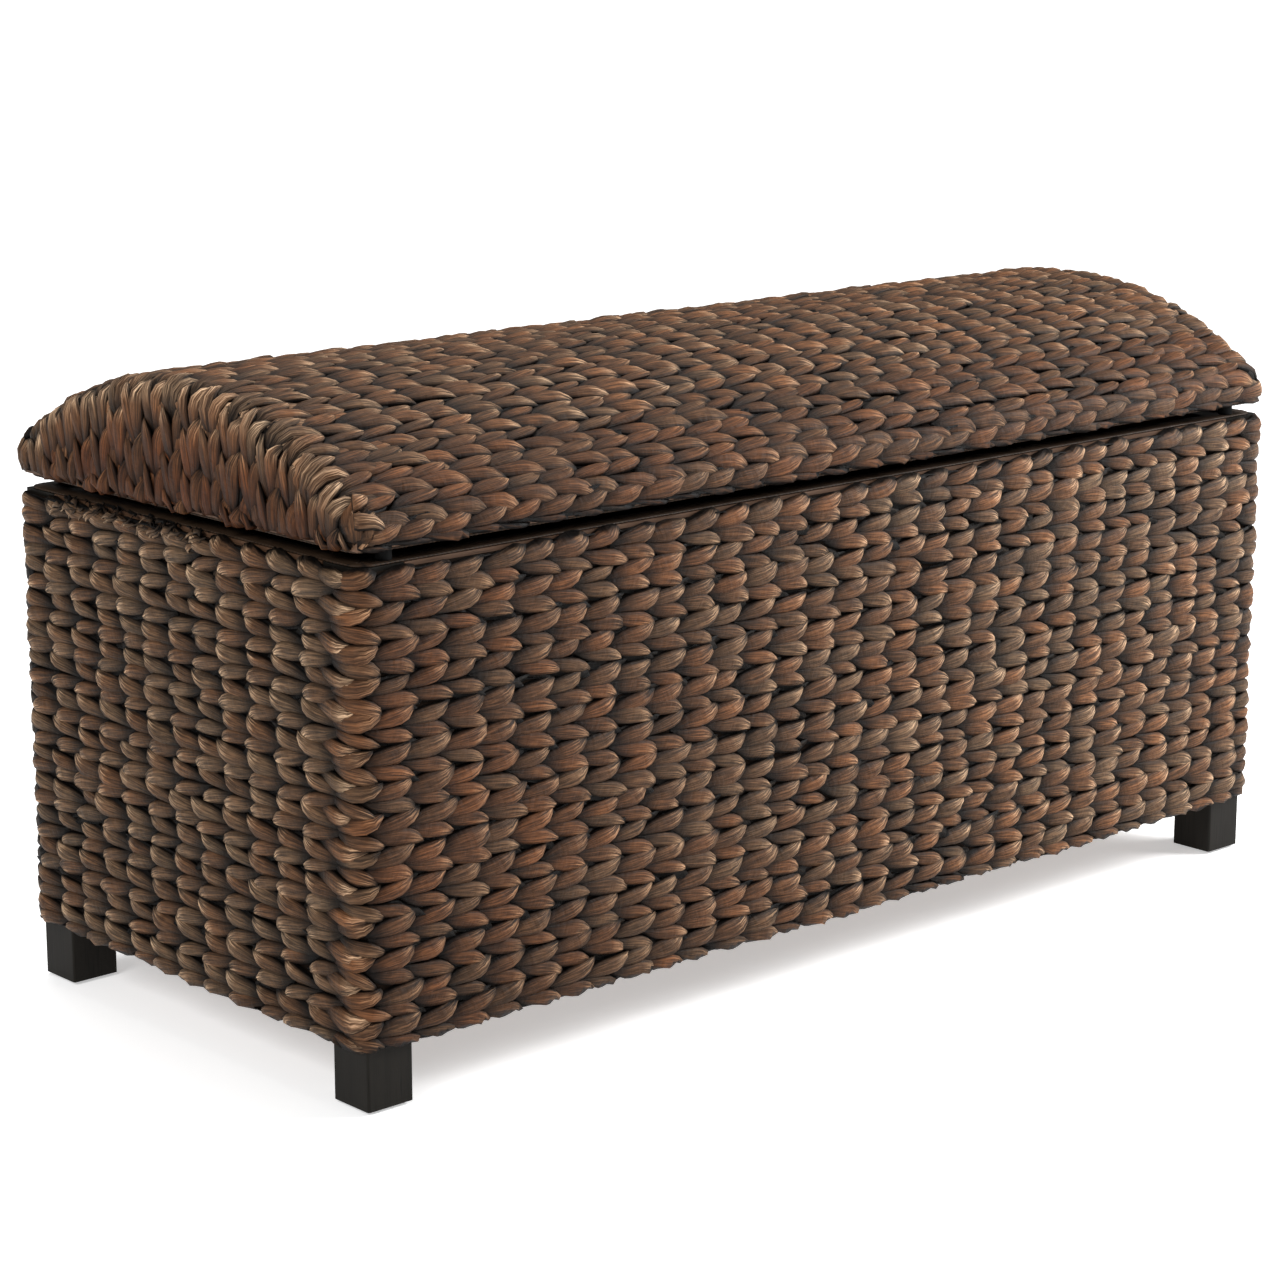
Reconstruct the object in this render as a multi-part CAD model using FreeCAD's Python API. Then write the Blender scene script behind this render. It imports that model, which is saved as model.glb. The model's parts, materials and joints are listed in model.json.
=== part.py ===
"""Wicker storage trunk: a woven chest on four square legs, with a domed woven lid.

The lid turns on two butt hinges set in the gap at the back. A slotted stay at each end hangs from the
lid and slides over a stud on the trunk, which stops the lid when it is open.

Frame: +X to the right along the length, -Y the front, +Z up, origin on the floor at the middle.
All sizes are in millimetres. One STEP file per piece goes into parts/.
"""
import FreeCAD, Part
import math
import os

# Overall sizes
LENGTH = 1000.0  # over the outer faces of the legs, left to right
DEPTH = 425.0  # over the outer faces of the legs, front to back
LEG_CLEAR = 46.0  # floor to the lower edge of the weave
WALL_HEIGHT = 356.0  # lower edge of the weave to the rim
LID_GAP = 8.0  # rim to the lower edge of the lid
LID_EDGE = 28.0  # upright part of the lid's side
LID_RISE = 74.0  # crown of the lid above its upright side

# Woven covers
WEAVE_THICK = 10.0
CORNER_RADIUS = 20.0  # upright corners, and the ends of the dome
EDGE_RADIUS = 6.0  # braid turned over the rim and under the lid
SHOULDER_RADIUS = 25.0  # between the lid's side and its dome
WEAVE_FIT = 0.2  # between a woven cover and the frame inside it

# Trunk frame
LEG_SIDE = 41.0
LEG_EASE = 2.0
RAIL_THICK = 20.0
RAIL_HEIGHT = 32.0
RAIL_LIFT = 4.0  # lower rail above the weave's lower edge
UPRIGHT_WIDTH = 28.0
SLAT_WIDTH = 40.0
SLAT_HEIGHT = 20.0
SLAT_COUNT = 5
SLAT_TO_LEG = 9.0
FLOOR_THICK = 9.0
FLOOR_FIT = 0.5
BINDING_THICK = 2.0
DOWEL_RADIUS = 4.0
DOWEL_LENGTH = 30.0
DOWEL_SLACK = 0.1
GLIDE_RADIUS = 11.0
GLIDE_THICK = 2.5
NAIL_RADIUS = 1.2
NAIL_LENGTH = 14.0
BUMPER_RADIUS = 6.0
BUMPER_TO_END = 30.0
BUMPER_FREE = 0.3  # bumper to the closed lid

# Lid frame
LID_RAIL_HEIGHT = 20.0
RIB_THICK = 14.0
RIB_DEPTH = 25.0
LATH_THICK = 5.0
LATH_WIDTH = 30.0
LATH_STEP = 12.0  # degrees round the dome, from lath to lath
LATH_NAMES = ("front", "front_middle", "ridge", "back_middle", "back")

# Butt hinges
HINGE_TO_END = 200.0
HINGE_WIDTH = 70.0
HINGE_LEAF = 2.0
KNUCKLE_RADIUS = 3.5
KNUCKLES = 5
KNUCKLE_GAP = 0.4
HINGE_PIN_RADIUS = 2.0
HINGE_PIN_PROUD = 1.0
HINGE_PIN_HOLD = 0.02  # pin in the trunk's knuckles
RUNNING_FIT = 0.05  # a pin in a bore that turns on it

# Slotted stays
LID_OPENS = 95.0  # degrees
PIVOT_ANGLE = 6.0  # degrees above the hinge's level, seen from the hinge
STUD_ANGLE = 25.0  # degrees below it
PLATE_THICK = 3.0
STAY_WIDTH = 16.0
STAY_THICK = 2.5
STAY_SIDE_GAP = 0.2
STAY_FLOOR_GAP = 35.0
STUD_RADIUS = 3.0
STUD_COLLAR = 1.2
STUD_HEAD = 2.0
SLOT_FIT = 0.2
BRACKET_HALF = 26.0
STUD_PLATE_HALF = 15.0

# Countersunk wood screws
SCREW_RADIUS = 1.75
SCREW_LENGTH = 15.0
SCREW_HEAD_RADIUS = 3.5
SCREW_HEAD_DEPTH = 2.0
SCREW_SLOT = 1.0
SCREW_EDGE = 9.0  # screw to the nearest edge of the plate it holds

# Derived places
HALF_X = LENGTH / 2
HALF_Y = DEPTH / 2
COVER_X = HALF_X + WEAVE_THICK
COVER_Y = HALF_Y + WEAVE_THICK
RIM_Z = LEG_CLEAR + WALL_HEIGHT
LEG_TOP = RIM_Z - BINDING_THICK
LOWER_RAIL_Z = LEG_CLEAR + RAIL_LIFT
UPPER_RAIL_Z = LEG_TOP - RAIL_HEIGHT
FLOOR_Z = LOWER_RAIL_Z + RAIL_HEIGHT
FLOOR_TOP = FLOOR_Z + FLOOR_THICK
INNER_LEG_X = HALF_X - LEG_SIDE
INNER_LEG_Y = HALF_Y - LEG_SIDE
INNER_RAIL_X = HALF_X - RAIL_THICK
INNER_RAIL_Y = HALF_Y - RAIL_THICK
RAIL_MID_X = HALF_X - RAIL_THICK / 2
RAIL_MID_Y = HALF_Y - RAIL_THICK / 2

LID_Z = RIM_Z + LID_GAP
LID_RAIL_Z = LID_Z + BINDING_THICK
LID_RAIL_TOP = LID_RAIL_Z + LID_RAIL_HEIGHT
CROWN_Z = LID_Z + LID_EDGE + LID_RISE
DOME_RADIUS = (COVER_Y**2 + LID_RISE**2) / (2 * LID_RISE)
DOME_Z = CROWN_Z - DOME_RADIUS

HINGE_X = HALF_X - HINGE_TO_END
HINGE_Y = COVER_Y - KNUCKLE_RADIUS
HINGE_Z = RIM_Z + LID_GAP / 2

# The pivot on the lid and the stud on the trunk are equally far from the hinge, so the stay turns
# exactly half as far as the lid, and its slot stays in line with the stud.
HALF_SWEEP = math.radians((PIVOT_ANGLE + STUD_ANGLE + LID_OPENS) / 2)
HALF_CLOSED = math.radians((PIVOT_ANGLE + STUD_ANGLE) / 2)
STAY_END = STUD_RADIUS + SLOT_FIT + STAY_WIDTH / 2
STAY_RADIUS = (HINGE_Z - FLOOR_TOP - STAY_FLOOR_GAP - STAY_END) / (
    2 * math.sin(HALF_SWEEP) - math.sin(math.radians(PIVOT_ANGLE))
)
PIVOT_Y = HINGE_Y - STAY_RADIUS * math.cos(math.radians(PIVOT_ANGLE))
PIVOT_Z = HINGE_Z + STAY_RADIUS * math.sin(math.radians(PIVOT_ANGLE))
STUD_Y = HINGE_Y - STAY_RADIUS * math.cos(math.radians(STUD_ANGLE))
STUD_Z = HINGE_Z - STAY_RADIUS * math.sin(math.radians(STUD_ANGLE))
STUD_NEAR = 2 * STAY_RADIUS * math.sin(HALF_CLOSED)
STUD_FAR = 2 * STAY_RADIUS * math.sin(HALF_SWEEP)
COLLAR_X = INNER_RAIL_X - PLATE_THICK
STAY_X = COLLAR_X - STUD_COLLAR - STAY_SIDE_GAP
HEAD_X = STAY_X - STAY_THICK - STAY_SIDE_GAP

X_AXIS = FreeCAD.Vector(1, 0, 0)
Y_AXIS = FreeCAD.Vector(0, 1, 0)
Z_AXIS = FreeCAD.Vector(0, 0, 1)
ENDS = (("left", -1), ("right", 1))
FACES = (("front", -1), ("back", 1))


def point(x, y, z):
    return FreeCAD.Vector(x, y, z)


def block(x, y, z):
    """A box between two limits on each axis, given in any order."""
    low = point(min(x), min(y), min(z))
    return Part.makeBox(max(x) - min(x), max(y) - min(y), max(z) - min(z), low)


def rod(start, direction, radius, length):
    return Part.makeCylinder(radius, length, start, direction)


def fuse(shapes):
    whole = shapes[0]
    for shape in shapes[1:]:
        whole = whole.fuse(shape)
    return whole.removeSplitter()


def cut_all(shape, tools):
    """The shape with every tool that reaches it cut away."""
    near = [tool for tool in tools if tool.BoundBox.intersect(shape.BoundBox)]
    for tool in near:
        shape = shape.cut(tool)
    return shape


def edges_where(shape, test):
    """The edges whose middle point passes the test."""
    return [edge for edge in shape.Edges if test(edge.valueAt(sum(edge.ParameterRange) / 2))]


def upright_edges(shape):
    def is_upright(edge):
        return edge.BoundBox.XLength + edge.BoundBox.YLength < 0.001

    return [edge for edge in shape.Edges if is_upright(edge)]


# Wooden frame of the trunk


def frame_joints():
    """Where the frame's pieces meet, each with the direction of its dowel."""
    joints = []
    for _, end in ENDS:
        for _, face in FACES:
            for rail_z in (LOWER_RAIL_Z, UPPER_RAIL_Z):
                middle_z = rail_z + RAIL_HEIGHT / 2
                joints.append((point(end * INNER_LEG_X, face * RAIL_MID_Y, middle_z), X_AXIS))
                joints.append((point(end * RAIL_MID_X, face * INNER_LEG_Y, middle_z), Y_AXIS))
            upright_x = end * upright_offset()
            for joint_z in (FLOOR_Z, UPPER_RAIL_Z):
                joints.append((point(upright_x, face * RAIL_MID_Y, joint_z), Z_AXIS))
    for x in slat_places():
        for _, face in FACES:
            joints.append((point(x, face * INNER_RAIL_Y, FLOOR_Z - SLAT_HEIGHT / 2), Y_AXIS))
    return joints


def lid_joints():
    joints = []
    middle_z = LID_RAIL_Z + LID_RAIL_HEIGHT / 2
    for _, end in ENDS:
        for _, face in FACES:
            joints.append((point(end * RAIL_MID_X, face * INNER_RAIL_Y, middle_z), Y_AXIS))
            foot = point(end * end_rib_middle(), face * end_rib_foot(), LID_RAIL_TOP)
            joints.append((foot, Z_AXIS))
            joints.append((point(end * upright_offset(), face * INNER_RAIL_Y, rib_end_z()), Y_AXIS))
    return joints


def dowel(joint, slack=0.0):
    """A dowel half in each piece of a joint, or with slack, the hole for it."""
    centre, direction = joint
    half = DOWEL_LENGTH / 2 + slack
    return rod(centre - direction * half, direction, DOWEL_RADIUS + slack, 2 * half)


def upright_offset():
    """The uprights split the clear length between the legs into thirds."""
    return INNER_LEG_X / 3


def slat_places():
    last = INNER_LEG_X - SLAT_TO_LEG - SLAT_WIDTH / 2
    return [last * (2 * i / (SLAT_COUNT - 1) - 1) for i in range(SLAT_COUNT)]


def glide(end, face):
    """A foot glide: a flat disc with the nail that holds it in the leg."""
    x = end * (HALF_X - LEG_SIDE / 2)
    y = face * (HALF_Y - LEG_SIDE / 2)
    disc = rod(point(x, y, 0), Z_AXIS, GLIDE_RADIUS, GLIDE_THICK)
    return disc.fuse(rod(point(x, y, 0), Z_AXIS, NAIL_RADIUS, GLIDE_THICK + NAIL_LENGTH))


def leg(end, face):
    x = (end * HALF_X, end * INNER_LEG_X)
    y = (face * HALF_Y, face * INNER_LEG_Y)
    post = block(x, y, (GLIDE_THICK, LEG_TOP))
    return post.makeFillet(LEG_EASE, upright_edges(post)).cut(glide(end, face))


def long_rail(face, bottom):
    y = (face * HALF_Y, face * INNER_RAIL_Y)
    return block((-INNER_LEG_X, INNER_LEG_X), y, (bottom, bottom + RAIL_HEIGHT))


def end_rail(end, bottom):
    x = (end * HALF_X, end * INNER_RAIL_X)
    return block(x, (-INNER_LEG_Y, INNER_LEG_Y), (bottom, bottom + RAIL_HEIGHT))


def upright(end, face):
    middle = end * upright_offset()
    x = (middle - UPRIGHT_WIDTH / 2, middle + UPRIGHT_WIDTH / 2)
    return block(x, (face * HALF_Y, face * INNER_RAIL_Y), (FLOOR_Z, UPPER_RAIL_Z))


def floor_panel():
    """The bottom board, notched round the legs."""
    x = INNER_RAIL_X - FLOOR_FIT
    y = INNER_RAIL_Y - FLOOR_FIT
    panel = block((-x, x), (-y, y), (FLOOR_Z, FLOOR_TOP))
    for _, end in ENDS:
        for _, face in FACES:
            notch_x = (end * (INNER_LEG_X - FLOOR_FIT), end * HALF_X)
            notch_y = (face * (INNER_LEG_Y - FLOOR_FIT), face * HALF_Y)
            panel = panel.cut(block(notch_x, notch_y, (FLOOR_Z, FLOOR_TOP)))
    return panel


def frame_pieces():
    pieces = {"floor_panel": floor_panel()}
    for face_name, face in FACES:
        pieces[f"lower_rail_{face_name}"] = long_rail(face, LOWER_RAIL_Z)
        pieces[f"upper_rail_{face_name}"] = long_rail(face, UPPER_RAIL_Z)
        for end_name, end in ENDS:
            pieces[f"leg_{face_name}_{end_name}"] = leg(end, face)
            pieces[f"upright_{face_name}_{end_name}"] = upright(end, face)
    for end_name, end in ENDS:
        pieces[f"lower_rail_{end_name}"] = end_rail(end, LOWER_RAIL_Z)
        pieces[f"upper_rail_{end_name}"] = end_rail(end, UPPER_RAIL_Z)
    for number, x in enumerate(slat_places(), start=1):
        span = (x - SLAT_WIDTH / 2, x + SLAT_WIDTH / 2)
        slat = block(span, (-INNER_RAIL_Y, INNER_RAIL_Y), (FLOOR_Z - SLAT_HEIGHT, FLOOR_Z))
        pieces[f"floor_slat_{number}"] = slat
    holes = [dowel(joint, DOWEL_SLACK) for joint in frame_joints()]
    return {name: cut_all(shape, holes) for name, shape in pieces.items()}


# Woven covers and their bindings


def woven_walls():
    """One band of weave round the whole trunk, turned over at the rim and under at the foot."""
    band = block((-COVER_X, COVER_X), (-COVER_Y, COVER_Y), (LEG_CLEAR, RIM_Z))
    band = band.makeFillet(CORNER_RADIUS, upright_edges(band))
    turned = edges_where(band, lambda p: min(abs(p.z - RIM_Z), abs(p.z - LEG_CLEAR)) < 0.001)
    band = band.makeFillet(EDGE_RADIUS, turned)
    x = HALF_X + WEAVE_FIT
    y = HALF_Y + WEAVE_FIT
    hollow = block((-x, x), (-y, y), (LEG_CLEAR - 1, RIM_Z + 1))
    ease = LEG_EASE + WEAVE_FIT
    return band.cut(hollow.makeFillet(ease, upright_edges(hollow)))


def binding(bottom):
    """The flat wrapped strip along the top of the trunk's rails, or along the foot of the lid's."""
    z = (bottom, bottom + BINDING_THICK)
    outer = block((-HALF_X, HALF_X), (-HALF_Y, HALF_Y), z)
    outer = outer.makeFillet(LEG_EASE, upright_edges(outer))
    return outer.cut(block((-INNER_RAIL_X, INNER_RAIL_X), (-INNER_RAIL_Y, INNER_RAIL_Y), z))


def dome(inset, bottom, half_x):
    """The lid's arched outline, shrunk by an inset, standing on a level and run along the lid."""
    half_y = COVER_Y - inset
    radius = DOME_RADIUS - inset
    shoulder_z = DOME_Z + math.sqrt(radius**2 - half_y**2)
    low_front = point(-half_x, -half_y, bottom)
    high_front = point(-half_x, -half_y, shoulder_z)
    crown = point(-half_x, 0, DOME_Z + radius)
    high_back = point(-half_x, half_y, shoulder_z)
    low_back = point(-half_x, half_y, bottom)
    outline = [
        Part.LineSegment(low_front, high_front).toShape(),
        Part.Arc(high_front, crown, high_back).toShape(),
        Part.LineSegment(high_back, low_back).toShape(),
        Part.LineSegment(low_back, low_front).toShape(),
    ]
    solid = Part.Face(Part.Wire(outline)).extrude(X_AXIS * 2 * half_x)
    shoulder = SHOULDER_RADIUS - inset
    if shoulder < 1:
        return solid
    creases = edges_where(
        solid, lambda p: abs(p.x) < 0.001 and abs(p.z - shoulder_z) < 0.001 and abs(p.y) > 1
    )
    return solid.makeFillet(shoulder, creases)


def lid_weave():
    """The woven dome and its two closed ends, open below."""
    outer = dome(0, LID_Z, COVER_X)
    rounded = edges_where(outer, lambda p: abs(p.x) > COVER_X - 0.001 and p.z > LID_Z + 0.001)
    outer = outer.makeFillet(CORNER_RADIUS, rounded)
    foot = edges_where(outer, lambda p: abs(p.z - LID_Z) < 0.001)
    outer = outer.makeFillet(EDGE_RADIUS, foot)
    return outer.cut(dome(WEAVE_THICK - WEAVE_FIT, LID_Z - 1, HALF_X + WEAVE_FIT))


# Wooden frame of the lid


def rib_end_z():
    """Level of the dowel in a middle rib's end, halfway up what it shares with the rail."""
    inner = DOME_RADIUS - WEAVE_THICK - LATH_THICK - RIB_DEPTH
    reach = INNER_RAIL_Y - DOWEL_LENGTH / 2
    lowest = DOME_Z + math.sqrt(inner**2 - reach**2)
    return max(lowest, LID_RAIL_Z) + DOWEL_RADIUS + 1


def end_rib_middle():
    return HALF_X - RIB_THICK / 2


def end_rib_foot():
    """Where an end rib's dowel stands: the middle of the foot that rests on the end rail."""
    inner = DOME_RADIUS - WEAVE_THICK - LATH_THICK - RIB_DEPTH
    inside = math.sqrt(inner**2 - (LID_RAIL_TOP - DOME_Z) ** 2)
    return (inside + INNER_RAIL_Y) / 2 - DOWEL_RADIUS / 2


def arch():
    """The full-length band that every rib is sliced from, just under the laths."""
    outside = dome(WEAVE_THICK + LATH_THICK, LID_RAIL_Z, HALF_X)
    return outside.cut(dome(WEAVE_THICK + LATH_THICK + RIB_DEPTH, LID_RAIL_Z - 1, HALF_X))


def lath(number):
    """A thin strip along the lid, between the ribs and the weave."""
    middle = (number - (len(LATH_NAMES) - 1) / 2) * math.radians(LATH_STEP)
    outer = DOME_RADIUS - WEAVE_THICK
    half = LATH_WIDTH / 2 / outer
    inner = outer - LATH_THICK

    def at(radius, angle):
        return point(-HALF_X, radius * math.sin(angle), DOME_Z + radius * math.cos(angle))

    corners = [at(r, middle + a) for r, a in ((outer, -half), (outer, half), (inner, half), (inner, -half))]
    outline = [
        Part.Arc(corners[0], at(outer, middle), corners[1]).toShape(),
        Part.LineSegment(corners[1], corners[2]).toShape(),
        Part.Arc(corners[2], at(inner, middle), corners[3]).toShape(),
        Part.LineSegment(corners[3], corners[0]).toShape(),
    ]
    return Part.Face(Part.Wire(outline)).extrude(X_AXIS * LENGTH)


def lid_frame_pieces():
    pieces = {}
    z = (LID_RAIL_Z, LID_RAIL_TOP)
    space = dome(WEAVE_THICK, LID_RAIL_Z, HALF_X)
    for face_name, face in FACES:
        rail = block((-HALF_X, HALF_X), (face * HALF_Y, face * INNER_RAIL_Y), z)
        pieces[f"lid_rail_{face_name}"] = rail.common(space)
    for end_name, end in ENDS:
        x = (end * HALF_X, end * INNER_RAIL_X)
        pieces[f"lid_rail_{end_name}"] = block(x, (-INNER_RAIL_Y, INNER_RAIL_Y), z)
    band = arch()
    high = (LID_RAIL_Z, CROWN_Z)
    between = (-INNER_RAIL_Y, INNER_RAIL_Y)
    for end_name, end in ENDS:
        over_rail = block((end * HALF_X, end * (HALF_X - RIB_THICK)), between, (LID_RAIL_TOP, CROWN_Z))
        pieces[f"lid_end_rib_{end_name}"] = band.common(over_rail)
        middle = end * upright_offset()
        slab = block((middle - RIB_THICK / 2, middle + RIB_THICK / 2), between, high)
        pieces[f"lid_rib_{end_name}"] = band.common(slab)
    holes = [dowel(joint, DOWEL_SLACK) for joint in lid_joints()]
    pieces = {name: cut_all(shape, holes) for name, shape in pieces.items()}
    for number, name in enumerate(LATH_NAMES):
        pieces[f"lid_lath_{name}"] = lath(number)
    return pieces


# Fasteners


def screw(surface, direction):
    """A slotted countersunk screw, its head flush with the surface it holds."""
    head = Part.makeCone(SCREW_HEAD_RADIUS, SCREW_RADIUS, SCREW_HEAD_DEPTH, surface, direction)
    return head.fuse(rod(surface, direction, SCREW_RADIUS, SCREW_LENGTH))


def slotted(shape, surface, direction):
    """The screw with the driver's slot cut across its head."""
    long_half = SCREW_HEAD_RADIUS + 1
    across = Y_AXIS if abs(direction.y) < 0.5 else Z_AXIS
    other = direction.cross(across)
    spans = []
    for axis in (X_AXIS, Y_AXIS, Z_AXIS):
        half = long_half * abs(across.dot(axis)) + SCREW_SLOT / 2 * abs(other.dot(axis))
        half += SCREW_SLOT * abs(direction.dot(axis))
        middle = surface.dot(axis)
        spans.append((middle - half, middle + half))
    return shape.cut(block(*spans))


def screws(places):
    """One screw for each (surface point, direction into the wood)."""
    return [screw(*place) for place in places]


def screw_group(places):
    return Part.makeCompound([slotted(screw(*place), *place) for place in places])


def hinge_screw_places(up):
    """Surface points of the hinge screws: into the lid's rail when up is 1, into the trunk's when -1."""
    surface_z = HINGE_Z + up * (LID_GAP / 2 - HINGE_LEAF)
    places = []
    for _, end in ENDS:
        for step in (-1, 0, 1):
            x = end * HINGE_X + step * (HINGE_WIDTH / 2 - SCREW_EDGE)
            places.append((point(x, RAIL_MID_Y, surface_z), Z_AXIS * up))
    return places


# Butt hinges


def knuckle_span(number):
    """Left and right limits of one knuckle, from the hinge's middle."""
    pitch = HINGE_WIDTH / KNUCKLES
    left = -HINGE_WIDTH / 2 + number * pitch
    return left + KNUCKLE_GAP / 2, left + pitch - KNUCKLE_GAP / 2


def hinge_leaf(end, up):
    """One leaf with its knuckles: the lid's when up is 1, the trunk's when -1."""
    middle = end * HINGE_X
    outer_z = HINGE_Z + up * LID_GAP / 2
    inner_y = RAIL_MID_Y - SCREW_EDGE
    x = (middle - HINGE_WIDTH / 2, middle + HINGE_WIDTH / 2)
    shape = block(x, (inner_y, HINGE_Y), (outer_z, outer_z - up * HINGE_LEAF))
    own = range(1, KNUCKLES, 2) if up > 0 else range(0, KNUCKLES, 2)
    for number in set(range(KNUCKLES)) - set(own):
        left, right = knuckle_span(number)
        start = point(middle + left - KNUCKLE_GAP, HINGE_Y, HINGE_Z)
        width = right - left + 2 * KNUCKLE_GAP
        shape = shape.cut(rod(start, X_AXIS, KNUCKLE_RADIUS + KNUCKLE_GAP, width))
    for number in own:
        left, right = knuckle_span(number)
        start = point(middle + left, HINGE_Y, HINGE_Z)
        shape = shape.fuse(rod(start, X_AXIS, KNUCKLE_RADIUS, right - left))
    fit = RUNNING_FIT if up > 0 else HINGE_PIN_HOLD
    bore_start = point(middle - HINGE_WIDTH / 2, HINGE_Y, HINGE_Z)
    shape = shape.cut(rod(bore_start, X_AXIS, HINGE_PIN_RADIUS + fit, HINGE_WIDTH))
    return cut_all(shape, screws(hinge_screw_places(up)))


def hinge_pins():
    length = HINGE_WIDTH + 2 * HINGE_PIN_PROUD
    starts = [point(end * HINGE_X - length / 2, HINGE_Y, HINGE_Z) for _, end in ENDS]
    return Part.makeCompound([rod(start, X_AXIS, HINGE_PIN_RADIUS, length) for start in starts])


# Slotted stays


def headed_pin(end, y, z, neck):
    """The shouldered pin that a stay turns or slides on, running inwards from the rail."""
    inwards = X_AXIS * -end
    shank = rod(point(end * INNER_RAIL_X, y, z), inwards, neck, INNER_RAIL_X - HEAD_X)
    collar = rod(point(end * COLLAR_X, y, z), inwards, STUD_RADIUS + 2, STUD_COLLAR)
    head = rod(point(end * HEAD_X, y, z), inwards, STUD_RADIUS * 2, STUD_HEAD)
    return fuse([shank, collar, head])


def stay_plate_screw_places(end):
    z = UPPER_RAIL_Z + RAIL_HEIGHT / 2
    offset = STUD_PLATE_HALF - SCREW_EDGE + 1
    return [(point(end * COLLAR_X, STUD_Y + side * offset, z), X_AXIS * end) for side in (-1, 1)]


def stay_bracket_screw_places(end):
    z = LID_RAIL_Z + LID_RAIL_HEIGHT / 2
    offset = BRACKET_HALF - SCREW_EDGE + 1
    return [(point(end * COLLAR_X, PIVOT_Y + side * offset, z), X_AXIS * end) for side in (-1, 1)]


def stay_plate(end):
    """Flat plate on the trunk's upper end rail, reaching down to the stud."""
    x = (end * INNER_RAIL_X, end * COLLAR_X)
    y = (STUD_Y - STUD_PLATE_HALF, STUD_Y + STUD_PLATE_HALF)
    plate = block(x, y, (STUD_Z - STUD_PLATE_HALF, UPPER_RAIL_Z + RAIL_HEIGHT - PLATE_THICK))
    lower = edges_where(plate, lambda p: p.z < STUD_Z and abs(abs(p.y - STUD_Y) - STUD_PLATE_HALF) < 0.001)
    lower = [edge for edge in lower if edge.BoundBox.XLength > PLATE_THICK / 2]
    plate = plate.makeFillet(STUD_PLATE_HALF - 1, lower)
    pin_hole = rod(point(end * INNER_RAIL_X, STUD_Y, STUD_Z), X_AXIS * -end, STUD_RADIUS, PLATE_THICK)
    return cut_all(plate, [pin_hole] + screws(stay_plate_screw_places(end)))


def stay_bracket(end):
    """Flat plate on the lid's end rail that carries the stay's pivot."""
    x = (end * INNER_RAIL_X, end * COLLAR_X)
    y = (PIVOT_Y - BRACKET_HALF, PIVOT_Y + BRACKET_HALF)
    plate = block(x, y, (LID_RAIL_Z, LID_RAIL_TOP))
    neck = STUD_RADIUS
    pin_hole = rod(point(end * INNER_RAIL_X, PIVOT_Y, PIVOT_Z), X_AXIS * -end, neck, PLATE_THICK)
    return cut_all(plate, [pin_hole] + screws(stay_bracket_screw_places(end)))


def stay(end):
    """The slotted bar, pivoted on the lid and hooked over the trunk's stud."""
    x = (end * STAY_X, end * (STAY_X - STAY_THICK))
    outer_x = min(x)
    half = STAY_WIDTH / 2
    far = STUD_FAR
    slot_half = STUD_RADIUS + SLOT_FIT

    def disc(distance, radius):
        return rod(point(outer_x, 0, -distance), X_AXIS, radius, STAY_THICK)

    bar = fuse([block(x, (-half, half), (0, -far)), disc(0, half), disc(far, half)])
    slot = fuse([block(x, (-slot_half, slot_half), (-STUD_NEAR, -far)), disc(STUD_NEAR, slot_half),
                 disc(far, slot_half)])
    bar = bar.cut(slot).cut(disc(0, STUD_RADIUS + RUNNING_FIT))
    lean = math.degrees(math.atan2(STUD_Y - PIVOT_Y, PIVOT_Z - STUD_Z))
    bar.rotate(point(0, 0, 0), X_AXIS, lean)
    bar.translate(point(0, PIVOT_Y, PIVOT_Z))
    return bar


# Assembly


def trunk_pieces():
    pieces = frame_pieces()
    pieces["frame_dowels"] = Part.makeCompound([dowel(joint) for joint in frame_joints()])
    pieces["foot_glides"] = Part.makeCompound([glide(end, face) for _, end in ENDS for _, face in FACES])
    pieces["woven_walls"] = woven_walls()
    hinge_places = hinge_screw_places(-1)
    pieces["rim_binding"] = cut_all(binding(LEG_TOP), screws(hinge_places))
    pieces["upper_rail_back"] = cut_all(pieces["upper_rail_back"], screws(hinge_places))
    height = LID_GAP - BUMPER_FREE
    pieces["rim_bumpers"] = Part.makeCompound([
        rod(point(end * (HALF_X - BUMPER_TO_END), face * RAIL_MID_Y, RIM_Z), Z_AXIS, BUMPER_RADIUS, height)
        for _, end in ENDS
        for _, face in FACES
    ])
    pieces["hinge_screws_trunk"] = screw_group(hinge_places)
    pieces["hinge_pins"] = hinge_pins()
    plate_places = []
    for end_name, end in ENDS:
        pieces[f"hinge_leaf_trunk_{end_name}"] = hinge_leaf(end, -1)
        pieces[f"stay_plate_{end_name}"] = stay_plate(end)
        places = stay_plate_screw_places(end)
        rail = f"upper_rail_{end_name}"
        pieces[rail] = cut_all(pieces[rail], screws(places))
        plate_places += places
    pieces["stay_plate_screws"] = screw_group(plate_places)
    studs = [headed_pin(end, STUD_Y, STUD_Z, STUD_RADIUS) for _, end in ENDS]
    pieces["stay_studs"] = Part.makeCompound(studs)
    return pieces


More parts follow.
